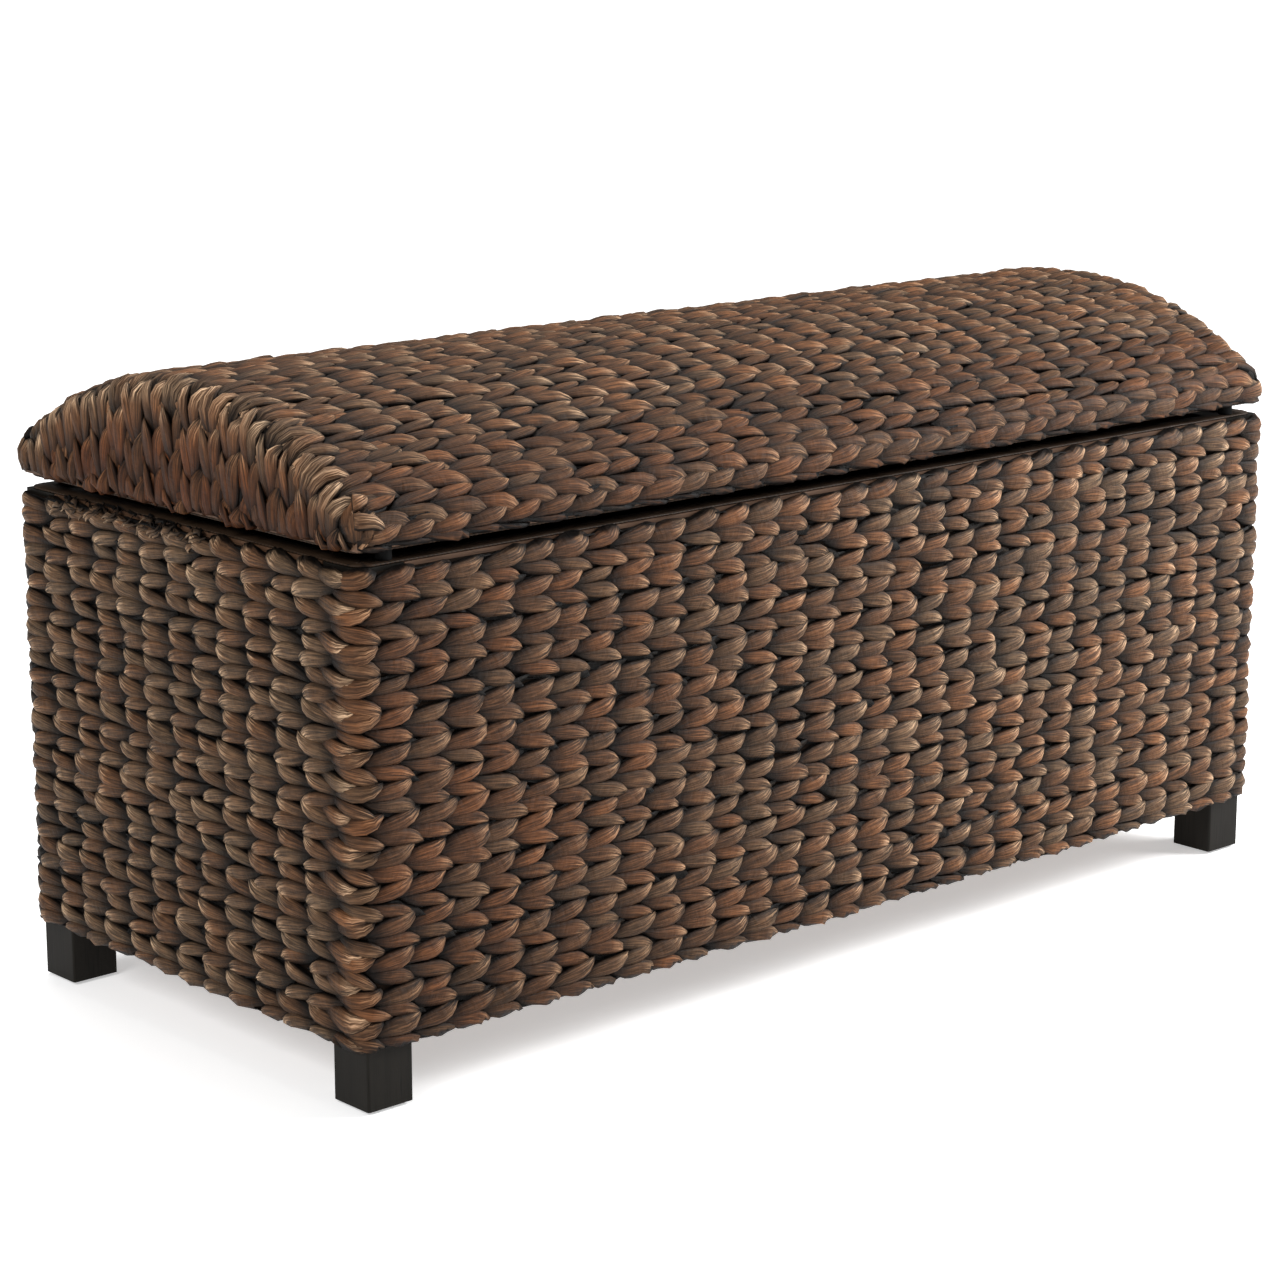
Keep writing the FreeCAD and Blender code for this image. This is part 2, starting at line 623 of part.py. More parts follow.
def lid_pieces():
    pieces = lid_frame_pieces()
    pieces["lid_dowels"] = Part.makeCompound([dowel(joint) for joint in lid_joints()])
    pieces["lid_weave"] = lid_weave()
    hinge_places = hinge_screw_places(1)
    pieces["lid_binding"] = cut_all(binding(LID_Z), screws(hinge_places))
    pieces["lid_rail_back"] = cut_all(pieces["lid_rail_back"], screws(hinge_places))
    pieces["hinge_screws_lid"] = screw_group(hinge_places)
    bracket_places = []
    for end_name, end in ENDS:
        pieces[f"hinge_leaf_lid_{end_name}"] = hinge_leaf(end, 1)
        pieces[f"stay_bracket_{end_name}"] = stay_bracket(end)
        places = stay_bracket_screw_places(end)
        rail = f"lid_rail_{end_name}"
        pieces[rail] = cut_all(pieces[rail], screws(places))
        bracket_places += places
    pieces["stay_bracket_screws"] = screw_group(bracket_places)
    pivots = [headed_pin(end, PIVOT_Y, PIVOT_Z, STUD_RADIUS) for _, end in ENDS]
    pieces["stay_pivots"] = Part.makeCompound(pivots)
    return pieces


def stay_pieces():
    return {f"stay_{end_name}": stay(end) for end_name, end in ENDS}


def main():
    os.makedirs("parts", exist_ok=True)
    for pieces in (trunk_pieces(), lid_pieces(), stay_pieces()):
        for name, shape in pieces.items():
            shape.exportStep(f"parts/{name}.step")
    print(f"stay radius {STAY_RADIUS:.2f}, pivot y {PIVOT_Y:.3f} z {PIVOT_Z:.3f}")
    print(f"stud y {STUD_Y:.3f} z {STUD_Z:.3f}, hinge y {HINGE_Y:.3f} z {HINGE_Z:.3f}")


main()
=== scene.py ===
"""Looks of the woven storage trunk: braid, wrapped rims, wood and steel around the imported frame."""

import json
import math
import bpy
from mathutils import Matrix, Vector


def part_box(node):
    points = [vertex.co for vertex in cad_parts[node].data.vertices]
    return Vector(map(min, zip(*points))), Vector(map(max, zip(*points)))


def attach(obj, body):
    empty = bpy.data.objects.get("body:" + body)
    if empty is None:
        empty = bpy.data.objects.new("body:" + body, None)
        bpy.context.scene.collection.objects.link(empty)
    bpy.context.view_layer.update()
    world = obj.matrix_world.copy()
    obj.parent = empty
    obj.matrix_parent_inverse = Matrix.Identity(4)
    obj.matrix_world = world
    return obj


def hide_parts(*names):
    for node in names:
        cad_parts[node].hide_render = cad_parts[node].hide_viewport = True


bl_info = {
    "name": "Woven Storage Trunk",
    "version": (1, 0, 0),
    "blender": (4, 5, 0),
    "location": "3D View > Sidebar > Trunk",
    "description": "Braids the walls and lid of a storage trunk around its packed frame",
    "category": "Add Mesh",
}

import bpy
import numpy as np

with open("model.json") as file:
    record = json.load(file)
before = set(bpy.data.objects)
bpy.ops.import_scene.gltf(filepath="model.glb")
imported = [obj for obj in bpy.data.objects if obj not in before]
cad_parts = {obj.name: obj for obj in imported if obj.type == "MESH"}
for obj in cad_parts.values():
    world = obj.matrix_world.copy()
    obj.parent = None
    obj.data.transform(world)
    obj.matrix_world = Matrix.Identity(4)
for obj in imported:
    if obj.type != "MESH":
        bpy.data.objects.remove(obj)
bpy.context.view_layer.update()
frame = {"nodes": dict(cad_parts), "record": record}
WALL_LOW, WALL_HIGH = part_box("woven_walls")
LID_LOW, LID_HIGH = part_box("lid_weave")

COVER_X = WALL_HIGH.x
COVER_Y = WALL_HIGH.y
FOOT_Z = WALL_LOW.z
RIM_Z = WALL_HIGH.z
LID_Z = LID_LOW.z
CROWN_Z = LID_HIGH.z + 0.0001

# How the covers are rounded, as on the CAD solids.
CORNER_RADIUS = 0.020
EDGE_RADIUS = 0.006
SHOULDER_RADIUS = 0.025
LID_RISE = 0.074
DOME_RADIUS = (COVER_Y**2 + LID_RISE**2) / (2 * LID_RISE)
DOME_Z = CROWN_Z - DOME_RADIUS

# The lid's arch: a dome, then a shoulder from this turn on, then a short upright edge.
SHOULDER_Y = COVER_Y - SHOULDER_RADIUS
SHOULDER_REACH = DOME_RADIUS - SHOULDER_RADIUS
SHOULDER_TURN = math.asin(SHOULDER_Y / SHOULDER_REACH)
SHOULDER_Z = DOME_Z + SHOULDER_REACH * math.cos(SHOULDER_TURN)
DOME_ARC = DOME_RADIUS * SHOULDER_TURN
SHOULDER_ARC = SHOULDER_RADIUS * (math.pi / 2 - SHOULDER_TURN)
LID_ARC = DOME_ARC + SHOULDER_ARC + (SHOULDER_Z - LID_Z)
# A row of the lid lies on the dome where its way out rises more than this.
ON_DOME = 0.75

# Depth below the cover's surface at which each layer of braid lies.
OUTER_DEPTH = 0.0040
BACKING_DEPTH = 0.0066
INNER_DEPTH = 0.0080
CORE_THICK = 0.0008
# The highest braid ends this far below the rim, so that it is seen whole.
RIM_ROOM = 0.0035
# How far a braid wanders from its line, outside and on the lining.
WANDER = 0.0012
LINING_WANDER = 0.0006
FOLD_STEP = math.radians(10)
WALL_STEP = 0.03
LID_STEPS = 32
ARCH_STEPS = 64
# How much darker and redder, from 0 to 1, the left of the front is with painted shade, and the lid's front
# edge is.
FRONT_LEFT_SHADE = 0.52
LID_EDGE_DARKENING = 0.48
# The darker, redder tint for these and for the foot of the lid's ends: stain, partly painted shade.
STAIN_AND_SHADE_TINT = (0.50, 0.35, 0.235)
# How much a braid falls away to its edges, as half the curvature of its back in 1/m.
BRAID_CROWN = 15.0
# Painted shade darkens the gaps between braids from this depth below the braid's line, over this height.
GAP_FLOOR = 0.0046
GAP_HEIGHT = 0.0086
# The stretches of a row's path that the corner leaves, the torn fibres and the lid's ends take.
CORNER_REACH = 0.16
CORNER_LEAF_ROOM = 0.009
FRAY_REACH = (0.15, 0.39)
LID_END_REACH = 0.17
# Two short braids climb each corner of the lid, turned this many degrees from its end.
POST_TURNS = (28, 60)
POST_ROUNDING = 0.018
# The rim strips' inner edge, over the inside of the rails, their corners and the rounding of their section.
STRIP_INNER_Y = 0.1925
STRIP_CORNER = 0.004
STRIP_ROUNDING = 0.0006

# Each light: its place, its two sides, and its power as a share of the key light's.
LIGHTS = {
    "key": ((2.1, -1.5, 1.6), (1.2, 1.2), 1.0),
    "left fill": ((-3.6, -1.0, 2.6), (1.6, 1.6), 0.86),
    "top": ((0.4, 0.6, 3.2), (2.4, 1.2), 0.60),
}
LIT_SPOT = (0.0, 0.0, 0.25)
FLOOR_HALF = 200.0
CAMERA_PLACE = (-1.841, -1.977, 0.866)
CAMERA_TURN = (76.86, 0.0, -42.26)
CAMERA_LENS = 92.2


# Settings


def colour(name, description, *shade):
    return bpy.props.FloatVectorProperty(name=name, description=description, subtype="COLOR", default=shade)


def length(name, description, default):
    return bpy.props.FloatProperty(name=name, description=description, default=default, unit="LENGTH")


class BraidSettings(bpy.types.PropertyGroup):
    wall_rows: bpy.props.IntProperty(
        name="Wall braids", description="Braids from the foot of the walls to the rim", default=14, min=4
    )
    lid_rows: bpy.props.IntProperty(
        name="Lid braids", description="Braids on each side of the one along the ridge", default=10, min=4
    )
    leaf_step: length("Leaf step", "From one leaf's tip to the next along a braid", 0.0322)
    leaf_length: length("Leaf length", "Length of one folded leaf of fibre", 0.053)
    leaf_width: length("Leaf width", "Widest part of one leaf", 0.0150)
    tilt: bpy.props.FloatProperty(
        name="Tilt", description="Angle of a leaf to its braid", default=math.radians(15.5), subtype="ANGLE"
    )
    unevenness: bpy.props.FloatProperty(
        name="Unevenness", description="How much hand plaiting varies", default=1.0, min=0.0, max=2.0
    )
    seed: bpy.props.IntProperty(name="Seed", description="Picks the leaves' places and tints", default=7)
    umber: colour("Umber", "Main colour of the stained fibre", 0.069, 0.0330, 0.0155)
    russet: colour("Russet", "Warm leaves", 0.130, 0.0545, 0.0220)
    taupe: colour("Taupe", "Greyed leaves", 0.095, 0.0585, 0.0330)
    # The rubbed colour also stands for painted highlight on the light tips and rubbed places.
    worn: colour("Worn", "Fibre rubbed bare at folds and tips", 0.53, 0.375, 0.24)


class WoodSettings(bpy.types.PropertyGroup):
    legs: colour("Legs", "Stain on the legs", 0.0105, 0.0088, 0.0066)
    frame_wood: colour("Frame", "Stain on rails, ribs and laths", 0.110, 0.056, 0.030)
    board: colour("Bottom board", "Stain on the bottom board", 0.150, 0.082, 0.045)
    dowels: colour("Dowels", "Raw beech", 0.480, 0.310, 0.180)


class HardwareSettings(bpy.types.PropertyGroup):
    bronze: colour("Bronze", "Darkened steel", 0.070, 0.055, 0.042)
    rubbed: colour("Rubbed", "Steel where it is handled", 0.300, 0.240, 0.180)


class StageSettings(bpy.types.PropertyGroup):
    floor: colour("Floor", "Plain pale floor", 0.95, 0.95, 0.95)
    key: bpy.props.FloatProperty(name="Key light", description="Watts of the large soft light", default=109.0)
    sky: bpy.props.FloatProperty(name="Surround", description="Brightness of the pale surround", default=0.25)


# Node helpers


class Wire:
    """A node's output socket, with arithmetic that adds Math nodes."""

    def __init__(self, board, socket):
        self.board = board
        self.socket = socket

    def also(self, name):
        return Wire(self.board, pick(self.socket.node.outputs, name))

    def math(self, operation, *others):
        return self.board.add("ShaderNodeMath", dict(enumerate((self, *others))), operation=operation)

    def __add__(self, other):
        return self.math("ADD", other)

    def __sub__(self, other):
        return self.math("SUBTRACT", other)

    def __mul__(self, other):
        return self.math("MULTIPLY", other)

    def __truediv__(self, other):
        return self.math("DIVIDE", other)

    def __neg__(self):
        return self.math("MULTIPLY", -1.0)

    def __rsub__(self, other):
        return self.board.add("ShaderNodeMath", {0: other, 1: self}, operation="SUBTRACT")

    __radd__ = __add__
    __rmul__ = __mul__

    def clamp(self):
        return self.board.add("ShaderNodeClamp", {"Value": self})


def pick(sockets, key):
    """A socket by number or by name, among those in use."""
    if isinstance(key, int):
        return [s for s in sockets if s.enabled][key]
    return next(s for s in sockets if s.name == key and s.enabled)


class Board:
    """Adds nodes to a tree: settings first, then the values or links of the inputs."""

    def __init__(self, tree):
        self.tree = tree

    def add(self, kind, inputs=None, out=0, **settings):
        node = self.tree.nodes.new(kind)
        for name, value in settings.items():
            if name == "stops":
                self.set_stops(node.color_ramp, value)
            else:
                setattr(node, name, value)
        for key, value in (inputs or {}).items():
            self.feed(pick(node.inputs, key), value)
        return Wire(self, pick(node.outputs, out)) if node.outputs else node

    def set_stops(self, ramp, stops):
        while len(ramp.elements) < len(stops):
            ramp.elements.new(0.5)
        for element, (place, shade) in zip(ramp.elements, stops):
            element.position = place
            element.color = (shade, shade, shade, 1.0)

    def feed(self, socket, value):
        if isinstance(value, Wire):
            self.tree.links.new(value.socket, socket)
        elif value is not None:
            if socket.type == "RGBA" and len(value) == 3:
                value = (*value, 1.0)
            socket.default_value = value

    def vector(self, operation, a, b=None, scale=None):
        inputs = {0: a}
        if b is not None:
            inputs[1] = b
        if scale is not None:
            inputs["Scale"] = scale
        return self.add("ShaderNodeVectorMath", inputs, operation=operation)

    def combine(self, x, y, z):
        return self.add("ShaderNodeCombineXYZ", {0: x, 1: y, 2: z})

    def split(self, vector):
        return self.add("ShaderNodeSeparateXYZ", {0: vector})

    def mix(self, factor, a, b, blend="MIX"):
        inputs = {"Factor": factor, "A": a, "B": b}
        return self.add("ShaderNodeMix", inputs, "Result", data_type="RGBA", blend_type=blend)

    def times(self, a, b):
        return self.mix(1.0, a, b, "MULTIPLY")

    def noise(self, place, scale, detail=3.0, rough=0.55, stretch=None):
        if stretch:
            place = self.vector("MULTIPLY", place, stretch)
        inputs = {"Vector": place, "Scale": scale, "Detail": detail, "Roughness": rough}
        return self.add("ShaderNodeTexNoise", inputs)

    def ramp(self, factor, *stops):
        return self.add("ShaderNodeValToRGB", {"Fac": factor}, stops=stops)

    def attribute(self, name, out="Fac"):
        return self.add("ShaderNodeAttribute", out=out, attribute_name=name)

    def place(self):
        return self.add("ShaderNodeTexCoord", out="Object")

    def bump(self, height, strength, distance, normal=None):
        inputs = {"Strength": strength, "Distance": distance, "Height": height, "Normal": normal}
        return self.add("ShaderNodeBump", inputs)

    def store(self, geometry, name, value, data_type="FLOAT", domain="POINT"):
        inputs = {"Geometry": geometry, "Name": name, "Value": value}
        return self.add("GeometryNodeStoreNamedAttribute", inputs, data_type=data_type, domain=domain)

    def named(self, name, data_type="FLOAT"):
        return self.add("GeometryNodeInputNamedAttribute", {"Name": name}, data_type=data_type)

    def dice(self, low, high, seed, data_type="FLOAT", **more):
        inputs = {"Min": low, "Max": high, "Seed": seed, **more}
        return self.add("FunctionNodeRandomValue", inputs, data_type=data_type)


def material(name, build):
    """A new material. build gets the board and gives colour, roughness, bump and the other inputs."""
    made = bpy.data.materials.new(name)
    made.use_nodes = True
    made.node_tree.nodes.clear()
    board = Board(made.node_tree)
    shown, rough, bump, others = build(board)
    inputs = {"Base Color": shown, "Roughness": rough, "Normal": bump, **others}
    shader = board.add("ShaderNodeBsdfPrincipled", inputs)
    board.add("ShaderNodeOutputMaterial", {"Surface": shader})
    return made


# Finishes


def fibre_finish(settings):
    """Stained plaited leaf: fine fibres along each leaf with painted sheen on the light ones, a tint of its
    own, painted shade at the bases, at the sides and in the gaps, and light rubbed tips, partly painted
    highlight.

    The rubbed attribute is above 0 where the fibre is rubbed bare, partly a painted highlight, and below 0
    where it is darker and redder: stain, partly painted shade.
    """

    def build(board):
        grain = board.attribute("grain", "Vector")
        tint = board.attribute("tint")
        tip = board.attribute("tip")
        wear_stain_and_shading = board.attribute("rubbed")
        raised = board.attribute("raised")
        stain_and_shade = (-wear_stain_and_shading).clamp()
        fibres = board.noise(grain, 1.15, 4.0, 0.62, (0.045, 1.0, 1.0))
        splits = board.noise(grain, 1.0, 2.0, 0.5, (0.030, 0.36, 1.0))
        cracks = board.ramp(splits, (0.40, 0.0), (0.47, 1.0))
        creases = board.noise(grain, 1.0, 2.0, 0.5, (0.26, 0.10, 1.0))
        patches = board.noise(grain, 1.0, 2.0, 0.5, (0.055, 0.16, 1.0))
        warm = board.ramp(tint, (0.0, 0.0), (0.50, 0.10), (0.80, 0.45), (1.0, 1.0))
        grey = board.ramp(tint, (0.0, 1.0), (0.22, 0.75), (0.50, 0.12), (1.0, 0.0))
        base = board.mix(grey, settings.umber, settings.taupe)
        base = board.mix(warm, base, settings.russet)
        base = board.mix((patches - 0.42) * 2.2 * (warm + 0.25), base, settings.russet)
        # Light rubbed fibre at the tips and rubbed places: partly wear, partly painted highlight.
        worn_and_highlit_fibre = ((tip - 0.62) * 2.8).clamp() * ((fibres - 0.42) * 4.5).clamp()
        worn_and_highlit_fibre = worn_and_highlit_fibre * 0.75 + wear_stain_and_shading.clamp() * ((fibres - 0.40) * 3.0).clamp() * 0.45
        worn_and_highlit_fibre = (worn_and_highlit_fibre * (1.0 - stain_and_shade * 0.6)).clamp()
        base = board.mix(worn_and_highlit_fibre, base, settings.worn)
        # Fibre streaks: grain, with painted sheen on the light ones.
        base = board.times(base, board.ramp(fibres, (0.36, 0.34), (0.50, 0.80), (0.64, 1.60)))
        # Painted shade in the gaps between braids.
        base = board.times(base, board.ramp(raised, (0.0, 0.01), (0.46, 0.10), (0.82, 1.30)))
        cracks = board.mix(0.78, (1.0, 1.0, 1.0), cracks)
        base = board.times(base, board.mix(((tip - 0.45) * 2.4).clamp(), (1.0, 1.0, 1.0), cracks))
        # Painted shade towards the leaf's sides, where it meets its neighbours.
        side = (board.split(grain).also("Y") / LEAF_MIDDLE_MM - 1.0).math("ABSOLUTE")
        base = board.times(base, board.ramp(side, (0.40, 1.0), (0.70, 0.56), (0.94, 0.05)))
        # Painted shade towards the leaf's base, under the leaf before it.
        tucked_shade = board.ramp(tip, (0.22, 0.22), (0.50, 0.78), (0.74, 1.22))
        base = board.mix(1.0 - stain_and_shade * 0.6, base, tucked_shade, "MULTIPLY")
        # Stain and painted shade, darker and redder.
        base = board.mix(stain_and_shade, base, board.times(base, STAIN_AND_SHADE_TINT))
        rough = 0.50 + fibres * 0.20 + worn_and_highlit_fibre * 0.14
        bump = board.bump(creases, 0.5, 0.0016)
        bump = board.bump(fibres * 0.35 + splits * 0.9, 0.9, 0.0011, bump)
        return base, rough, bump, {"Specular IOR Level": 0.14}

    return material("stained plaited fibre", build)


def backing_finish():
    """The inside of the weave, near-black as painted shade, seen only in the gaps between leaves."""

    def build(board):
        strands = board.noise(board.place(), 160.0, stretch=(1.0, 1.0, 7.0))
        shown = board.mix(strands, (0.002, 0.0012, 0.0008), (0.012, 0.007, 0.0045))
        return shown, 0.9, board.bump(strands, 0.5, 0.001), {"Specular IOR Level": 0.05}

    return material("shaded fibre", build)


def wrap_finish(settings):
    """Fibre wound round the rim strips, darkened with painted shade between the turns and over the whole
    strip.
    """

    def build(board):
        place = board.place()
        strands = board.noise(place, 900.0)
        shown = board.mix(board.noise(place, 60.0, 2.0), settings.umber, settings.taupe)
        # Painted shade: dark between the turns, and the whole strip kept dark for its place in the shadow
        # under the lid.
        shown = board.times(shown, board.ramp(board.attribute("wound"), (0.0, 0.06), (0.7, 0.42)))
        rough = 0.50 + strands * 0.2
        return shown, rough, board.bump(strands, 0.4, 0.0003), {"Specular IOR Level": 0.2}

    return material("wound fibre", build)


def wood_finish(name, along, stain, contrast, rough_base, gloss):
    """Straight grain along one axis, with pores and a brushed-on stain."""

    def build(board):
        place = board.place()
        grain_stretch, pore_stretch = (
            tuple(share if axis == along else 1.0 for axis in range(3)) for share in (0.06, 0.03)
        )
        grain = board.noise(place, 210.0, 5.0, 0.6, grain_stretch)
        bands = board.noise(place, 38.0, 2.0, 0.5, grain_stretch)
        pores = board.noise(place, 900.0, 2.0, 0.5, pore_stretch)
        dark = tuple(c * (1 - contrast) for c in stain)
        light = tuple(min(1.0, c * (1 + contrast) + 0.003) for c in stain)
        shown = board.mix(((grain * 0.65 + bands * 0.45) - 0.18).clamp(), dark, light)
        shown = board.times(shown, board.ramp(pores, (0.30, 0.55), (0.42, 1.0)))
        rough = rough_base + grain * 0.16
        return shown, rough, board.bump(grain + pores * 0.6, 0.30, 0.0004), {"Specular IOR Level": gloss}

    return material(name, build)


def steel_finish(settings):
    """Darkened steel, rubbed brighter on patches, with fine brushing."""

    def build(board):
        place = board.place()
        patches = board.noise(place, 70.0, 4.0, 0.6)
        brushing = board.noise(place, 1400.0, 2.0, stretch=(0.05, 1.0, 1.0))
        shown = board.mix(board.ramp(patches, (0.52, 0.0), (0.72, 0.6)), settings.bronze, settings.rubbed)
        rough = 0.34 + brushing * 0.16 + patches * 0.08
        return shown, rough, board.bump(brushing, 0.12, 0.0002), {"Metallic": 0.9}

    return material("darkened steel", build)


def moulded_finish(name, shade, grain_scale, roughness, gloss=0.4):
    """Matt moulded nylon or rubber with a fine texture."""

    def build(board):
        speckle = board.noise(board.place(), grain_scale)
        shown = board.mix(speckle, (shade,) * 3, (shade * 1.8 + 0.002,) * 3)
        rough = roughness + speckle * 0.12
        return shown, rough, board.bump(speckle, 0.2, 0.0003), {"Specular IOR Level": gloss}

    return material(name, build)


# Leaves

# Rings of points along a leaf and round it, for the outer braids and for the plainer inner ones.
LEAF_STATIONS = (0.05, 0.18, 0.33, 0.48, 0.62, 0.75, 0.87, 0.95)
PLAIN_STATIONS = (0.08, 0.30, 0.58, 0.80, 0.94)
LEAF_ANGLES = (0, 34, 68, 112, 146, 180, 270)
PLAIN_ANGLES = (0, 50, 90, 130, 180)
# A leaf's shape in millimetres at these shares of its length: half widths on its outer and inner side
# (pointed leaf, blunt leaf), how its middle lies and how high its back is.
SHAPE_AT = (0.0, 0.05, 0.18, 0.36, 0.54, 0.70, 0.84, 0.94, 1.0)
OUTER_MM = ((0.0, 2.0, 4.4, 6.1, 5.9, 4.6, 2.7, 1.1, 0.0), (0.0, 1.8, 3.9, 5.6, 6.0, 5.2, 4.0, 2.6, 0.0))
INNER_MM = ((0.0, 2.0, 4.4, 6.8, 8.6, 7.4, 4.0, 1.6, 0.0), (0.0, 1.8, 4.0, 6.2, 8.4, 8.8, 6.6, 4.0, 0.0))
LIFT_MM = (-2.8, -2.6, -1.9, -0.8, 0.1, 0.5, 0.2, -0.7, -1.7)
CROWN_MM = (0.0, 1.3, 2.4, 3.4, 4.0, 4.0, 3.3, 2.0, 0.0)
UNDER_MM = 0.7
NOMINAL_WIDTH_MM = 14.6
MILLIMETRE = 0.001
# Half the girth over a leaf's back, in the grain's own millimetres.
LEAF_MIDDLE_MM = 8.6
# How many shapes of leaf each half of a braid picks from.
SHAPES = 8
# Kinds of leaf: whether plainly made, and its share of the full length and width.
LEAF_KINDS = {"leaf": (False, 1.0, 1.0), "inner leaf": (True, 1.0, 1.0), "torn fibre": (True, 0.34, 0.17)}


def at(t, heights):
    return np.interp(t, SHAPE_AT, heights)


def leaf_shape(rng, long, wide, mirrored, plain):
    """Points, faces and per-point facts of one leaf: base at the origin, tip along +X, top up +Z."""
    stations = PLAIN_STATIONS if plain else LEAF_STATIONS
    angles = [math.radians(a) for a in (PLAIN_ANGLES if plain else LEAF_ANGLES)]
    blunt = rng.random()
    fullness = rng.uniform(0.92, 1.08)
    ridge = rng.uniform(0.15, 0.55)
    ridge_turn = rng.uniform(0, 6.28)
    twist = rng.uniform(-0.16, 0.16)
    bow = rng.uniform(-0.0016, 0.0006)
    side = -1 if mirrored else 1
    points, facts = [], []

    def centre(t):
        sway = bow * math.sin(math.pi * t) + 0.0007 * math.sin(2 * math.pi * t)
        return t * long, sway, at(t, LIFT_MM) * MILLIMETRE

    def keep(x, y, z, t, across):
        points.append((x, side * y, z))
        facts.append((x / MILLIMETRE, across, t))

    keep(*centre(0), 0, 0)
    for t in stations:
        x, y, z = centre(t)
        outer, inner = (
            fullness * wide / NOMINAL_WIDTH_MM * (at(t, pointed) * (1 - blunt) + at(t, rounded) * blunt)
            for pointed, rounded in (OUTER_MM, INNER_MM)
        )
        half = (outer + inner) / 2
        y += (outer - inner) / 2
        crown = at(t, CROWN_MM) * MILLIMETRE
        lean = twist * math.sin(math.pi * t)
        for a in angles:
            over = math.sin(a)
            rise = crown * over**0.65 if over > 0 else UNDER_MM * MILLIMETRE * over
            fold = ridge * MILLIMETRE * math.sin(3 * a + ridge_turn + 2.5 * t) * max(over, 0) * (0.4 + t)
            pinch = rng.uniform(-0.35, 0.35) * MILLIMETRE * max(0.0, t - 0.45) * (1 if over > 0.1 else 0)
            px = x + rng.uniform(-0.6, 0.6) * MILLIMETRE
            py = y + half * math.cos(a)
            pz = z + rise + fold + pinch + lean * half * math.cos(a)
            keep(px, py, pz, t, a / math.pi * 2 * LEAF_MIDDLE_MM)
    keep(*centre(1), 1, 0)
    count, last = len(angles), len(points) - 1
    end = 1 + (len(stations) - 1) * count
    faces = []
    for first in range(1, end, count):
        for spot in range(count):
            a, b = first + spot, first + (spot + 1) % count
            faces.append((a, b, b + count, a + count))
    for spot in range(count):
        nxt = (spot + 1) % count
        faces.append((0, 1 + nxt, 1 + spot))
        faces.append((last, end + spot, end + nxt))
    # Corners are listed to face outwards for the leaf itself, and backwards for its mirror image.
    if mirrored:
        faces = [tuple(reversed(f)) for f in faces]
    return points, faces, facts


def leaf_collection(name, settings):
    """A set of leaves for the upper halves of braids, then as many mirrored ones for the lower halves."""
    plain, long, wide = LEAF_KINDS[name]
    long, wide = settings.leaf_length * long, settings.leaf_width * wide
    rng = np.random.default_rng(settings.seed + (50 if plain else 0))
    leaves = bpy.data.collections.new(name)
    for number in range(SHAPES * 2):
        points, faces, facts = leaf_shape(rng, long, wide, number >= SHAPES, plain)
        mesh = bpy.data.meshes.new(f"{name} {number:02d}")
        mesh.from_pydata(points, [], faces, shade_flat=False)
        facts = np.array(facts, np.float32)
        grain = np.zeros((len(points), 3), np.float32)
        grain[:, :2] = facts[:, :2]
        mesh.attributes.new("grain", "FLOAT_VECTOR", "POINT").data.foreach_set("vector", grain.ravel())
        mesh.attributes.new("tip", "FLOAT", "POINT").data.foreach_set("value", facts[:, 2].copy())
        leaves.objects.link(bpy.data.objects.new(f"{name} {number:02d}", mesh))
    return leaves


# Paths that braids follow


class Path:
    """One braid's line on the cover, with the way out and the folds near it at every point."""

    def __init__(self):
        self.places, self.outs, self.folds, self.forms = [], [], [], []

    def part(self, low, high):
        """The stretch between two distances along the path, counted back from its end where negative."""
        runs = np.concatenate(([0.0], np.cumsum(np.linalg.norm(np.diff(self.places, axis=0), axis=1))))
        low, high = (run + runs[-1] if run < 0 else run for run in (low, high))
        kept = Path()
        for run, place, out, fold, form in zip(runs, self.places, self.outs, self.folds, self.forms):
            if low <= run <= high:
                kept.add(place, out, *fold, *form)
        return kept

    def add(self, place, out, high=1.0, low=1.0, rubbed=0.0, curl=0.0, slim=1.0, sink=0.0):
        """A point, with its distances to the folds, its rubbed value (above 0 lighter with wear and painted
        highlight, below 0 darker with stain and painted shade), and how much the braid bends, narrows and
        sinks.
        """
        self.places.append(tuple(place))
        self.outs.append(tuple(out))
        self.folds.append((high, low, rubbed))
        self.forms.append((curl, slim, sink))


def paths_mesh(name, paths):
    """The paths as one mesh of edges, with their facts as attributes."""
    mesh = bpy.data.meshes.new(name)
    places, edges = [], []
    for path in paths:
        first = len(places)
        places += path.places
        edges += [(first + i, first + i + 1) for i in range(len(path.places) - 1)]
    mesh.from_pydata(places, edges, [])
    for label, lists in (("out", "outs"), ("fold", "folds"), ("form", "forms")):
        values = np.array([v for p in paths for v in getattr(p, lists)], np.float32)
        mesh.attributes.new(label, "FLOAT_VECTOR", "POINT").data.foreach_set("vector", values.ravel())
    return mesh


def turns(steps, first=0, sweep=math.pi / 2):
    """Even angles of an arc from 0 to its sweep."""
    return [sweep * step / steps for step in range(first, steps + 1)]


def plan_corner(sign_x, sign_y, radius, start, sweep):
    """Points round one upright corner of the cover, and their ways out."""
    cx, cy = sign_x * (COVER_X - CORNER_RADIUS), sign_y * (COVER_Y - CORNER_RADIUS)
    for turn in turns(max(2, round(abs(sweep) / FOLD_STEP)), sweep=sweep):
        a = start + turn
        yield (cx + radius * math.cos(a), cy + radius * math.sin(a)), (math.cos(a), math.sin(a))


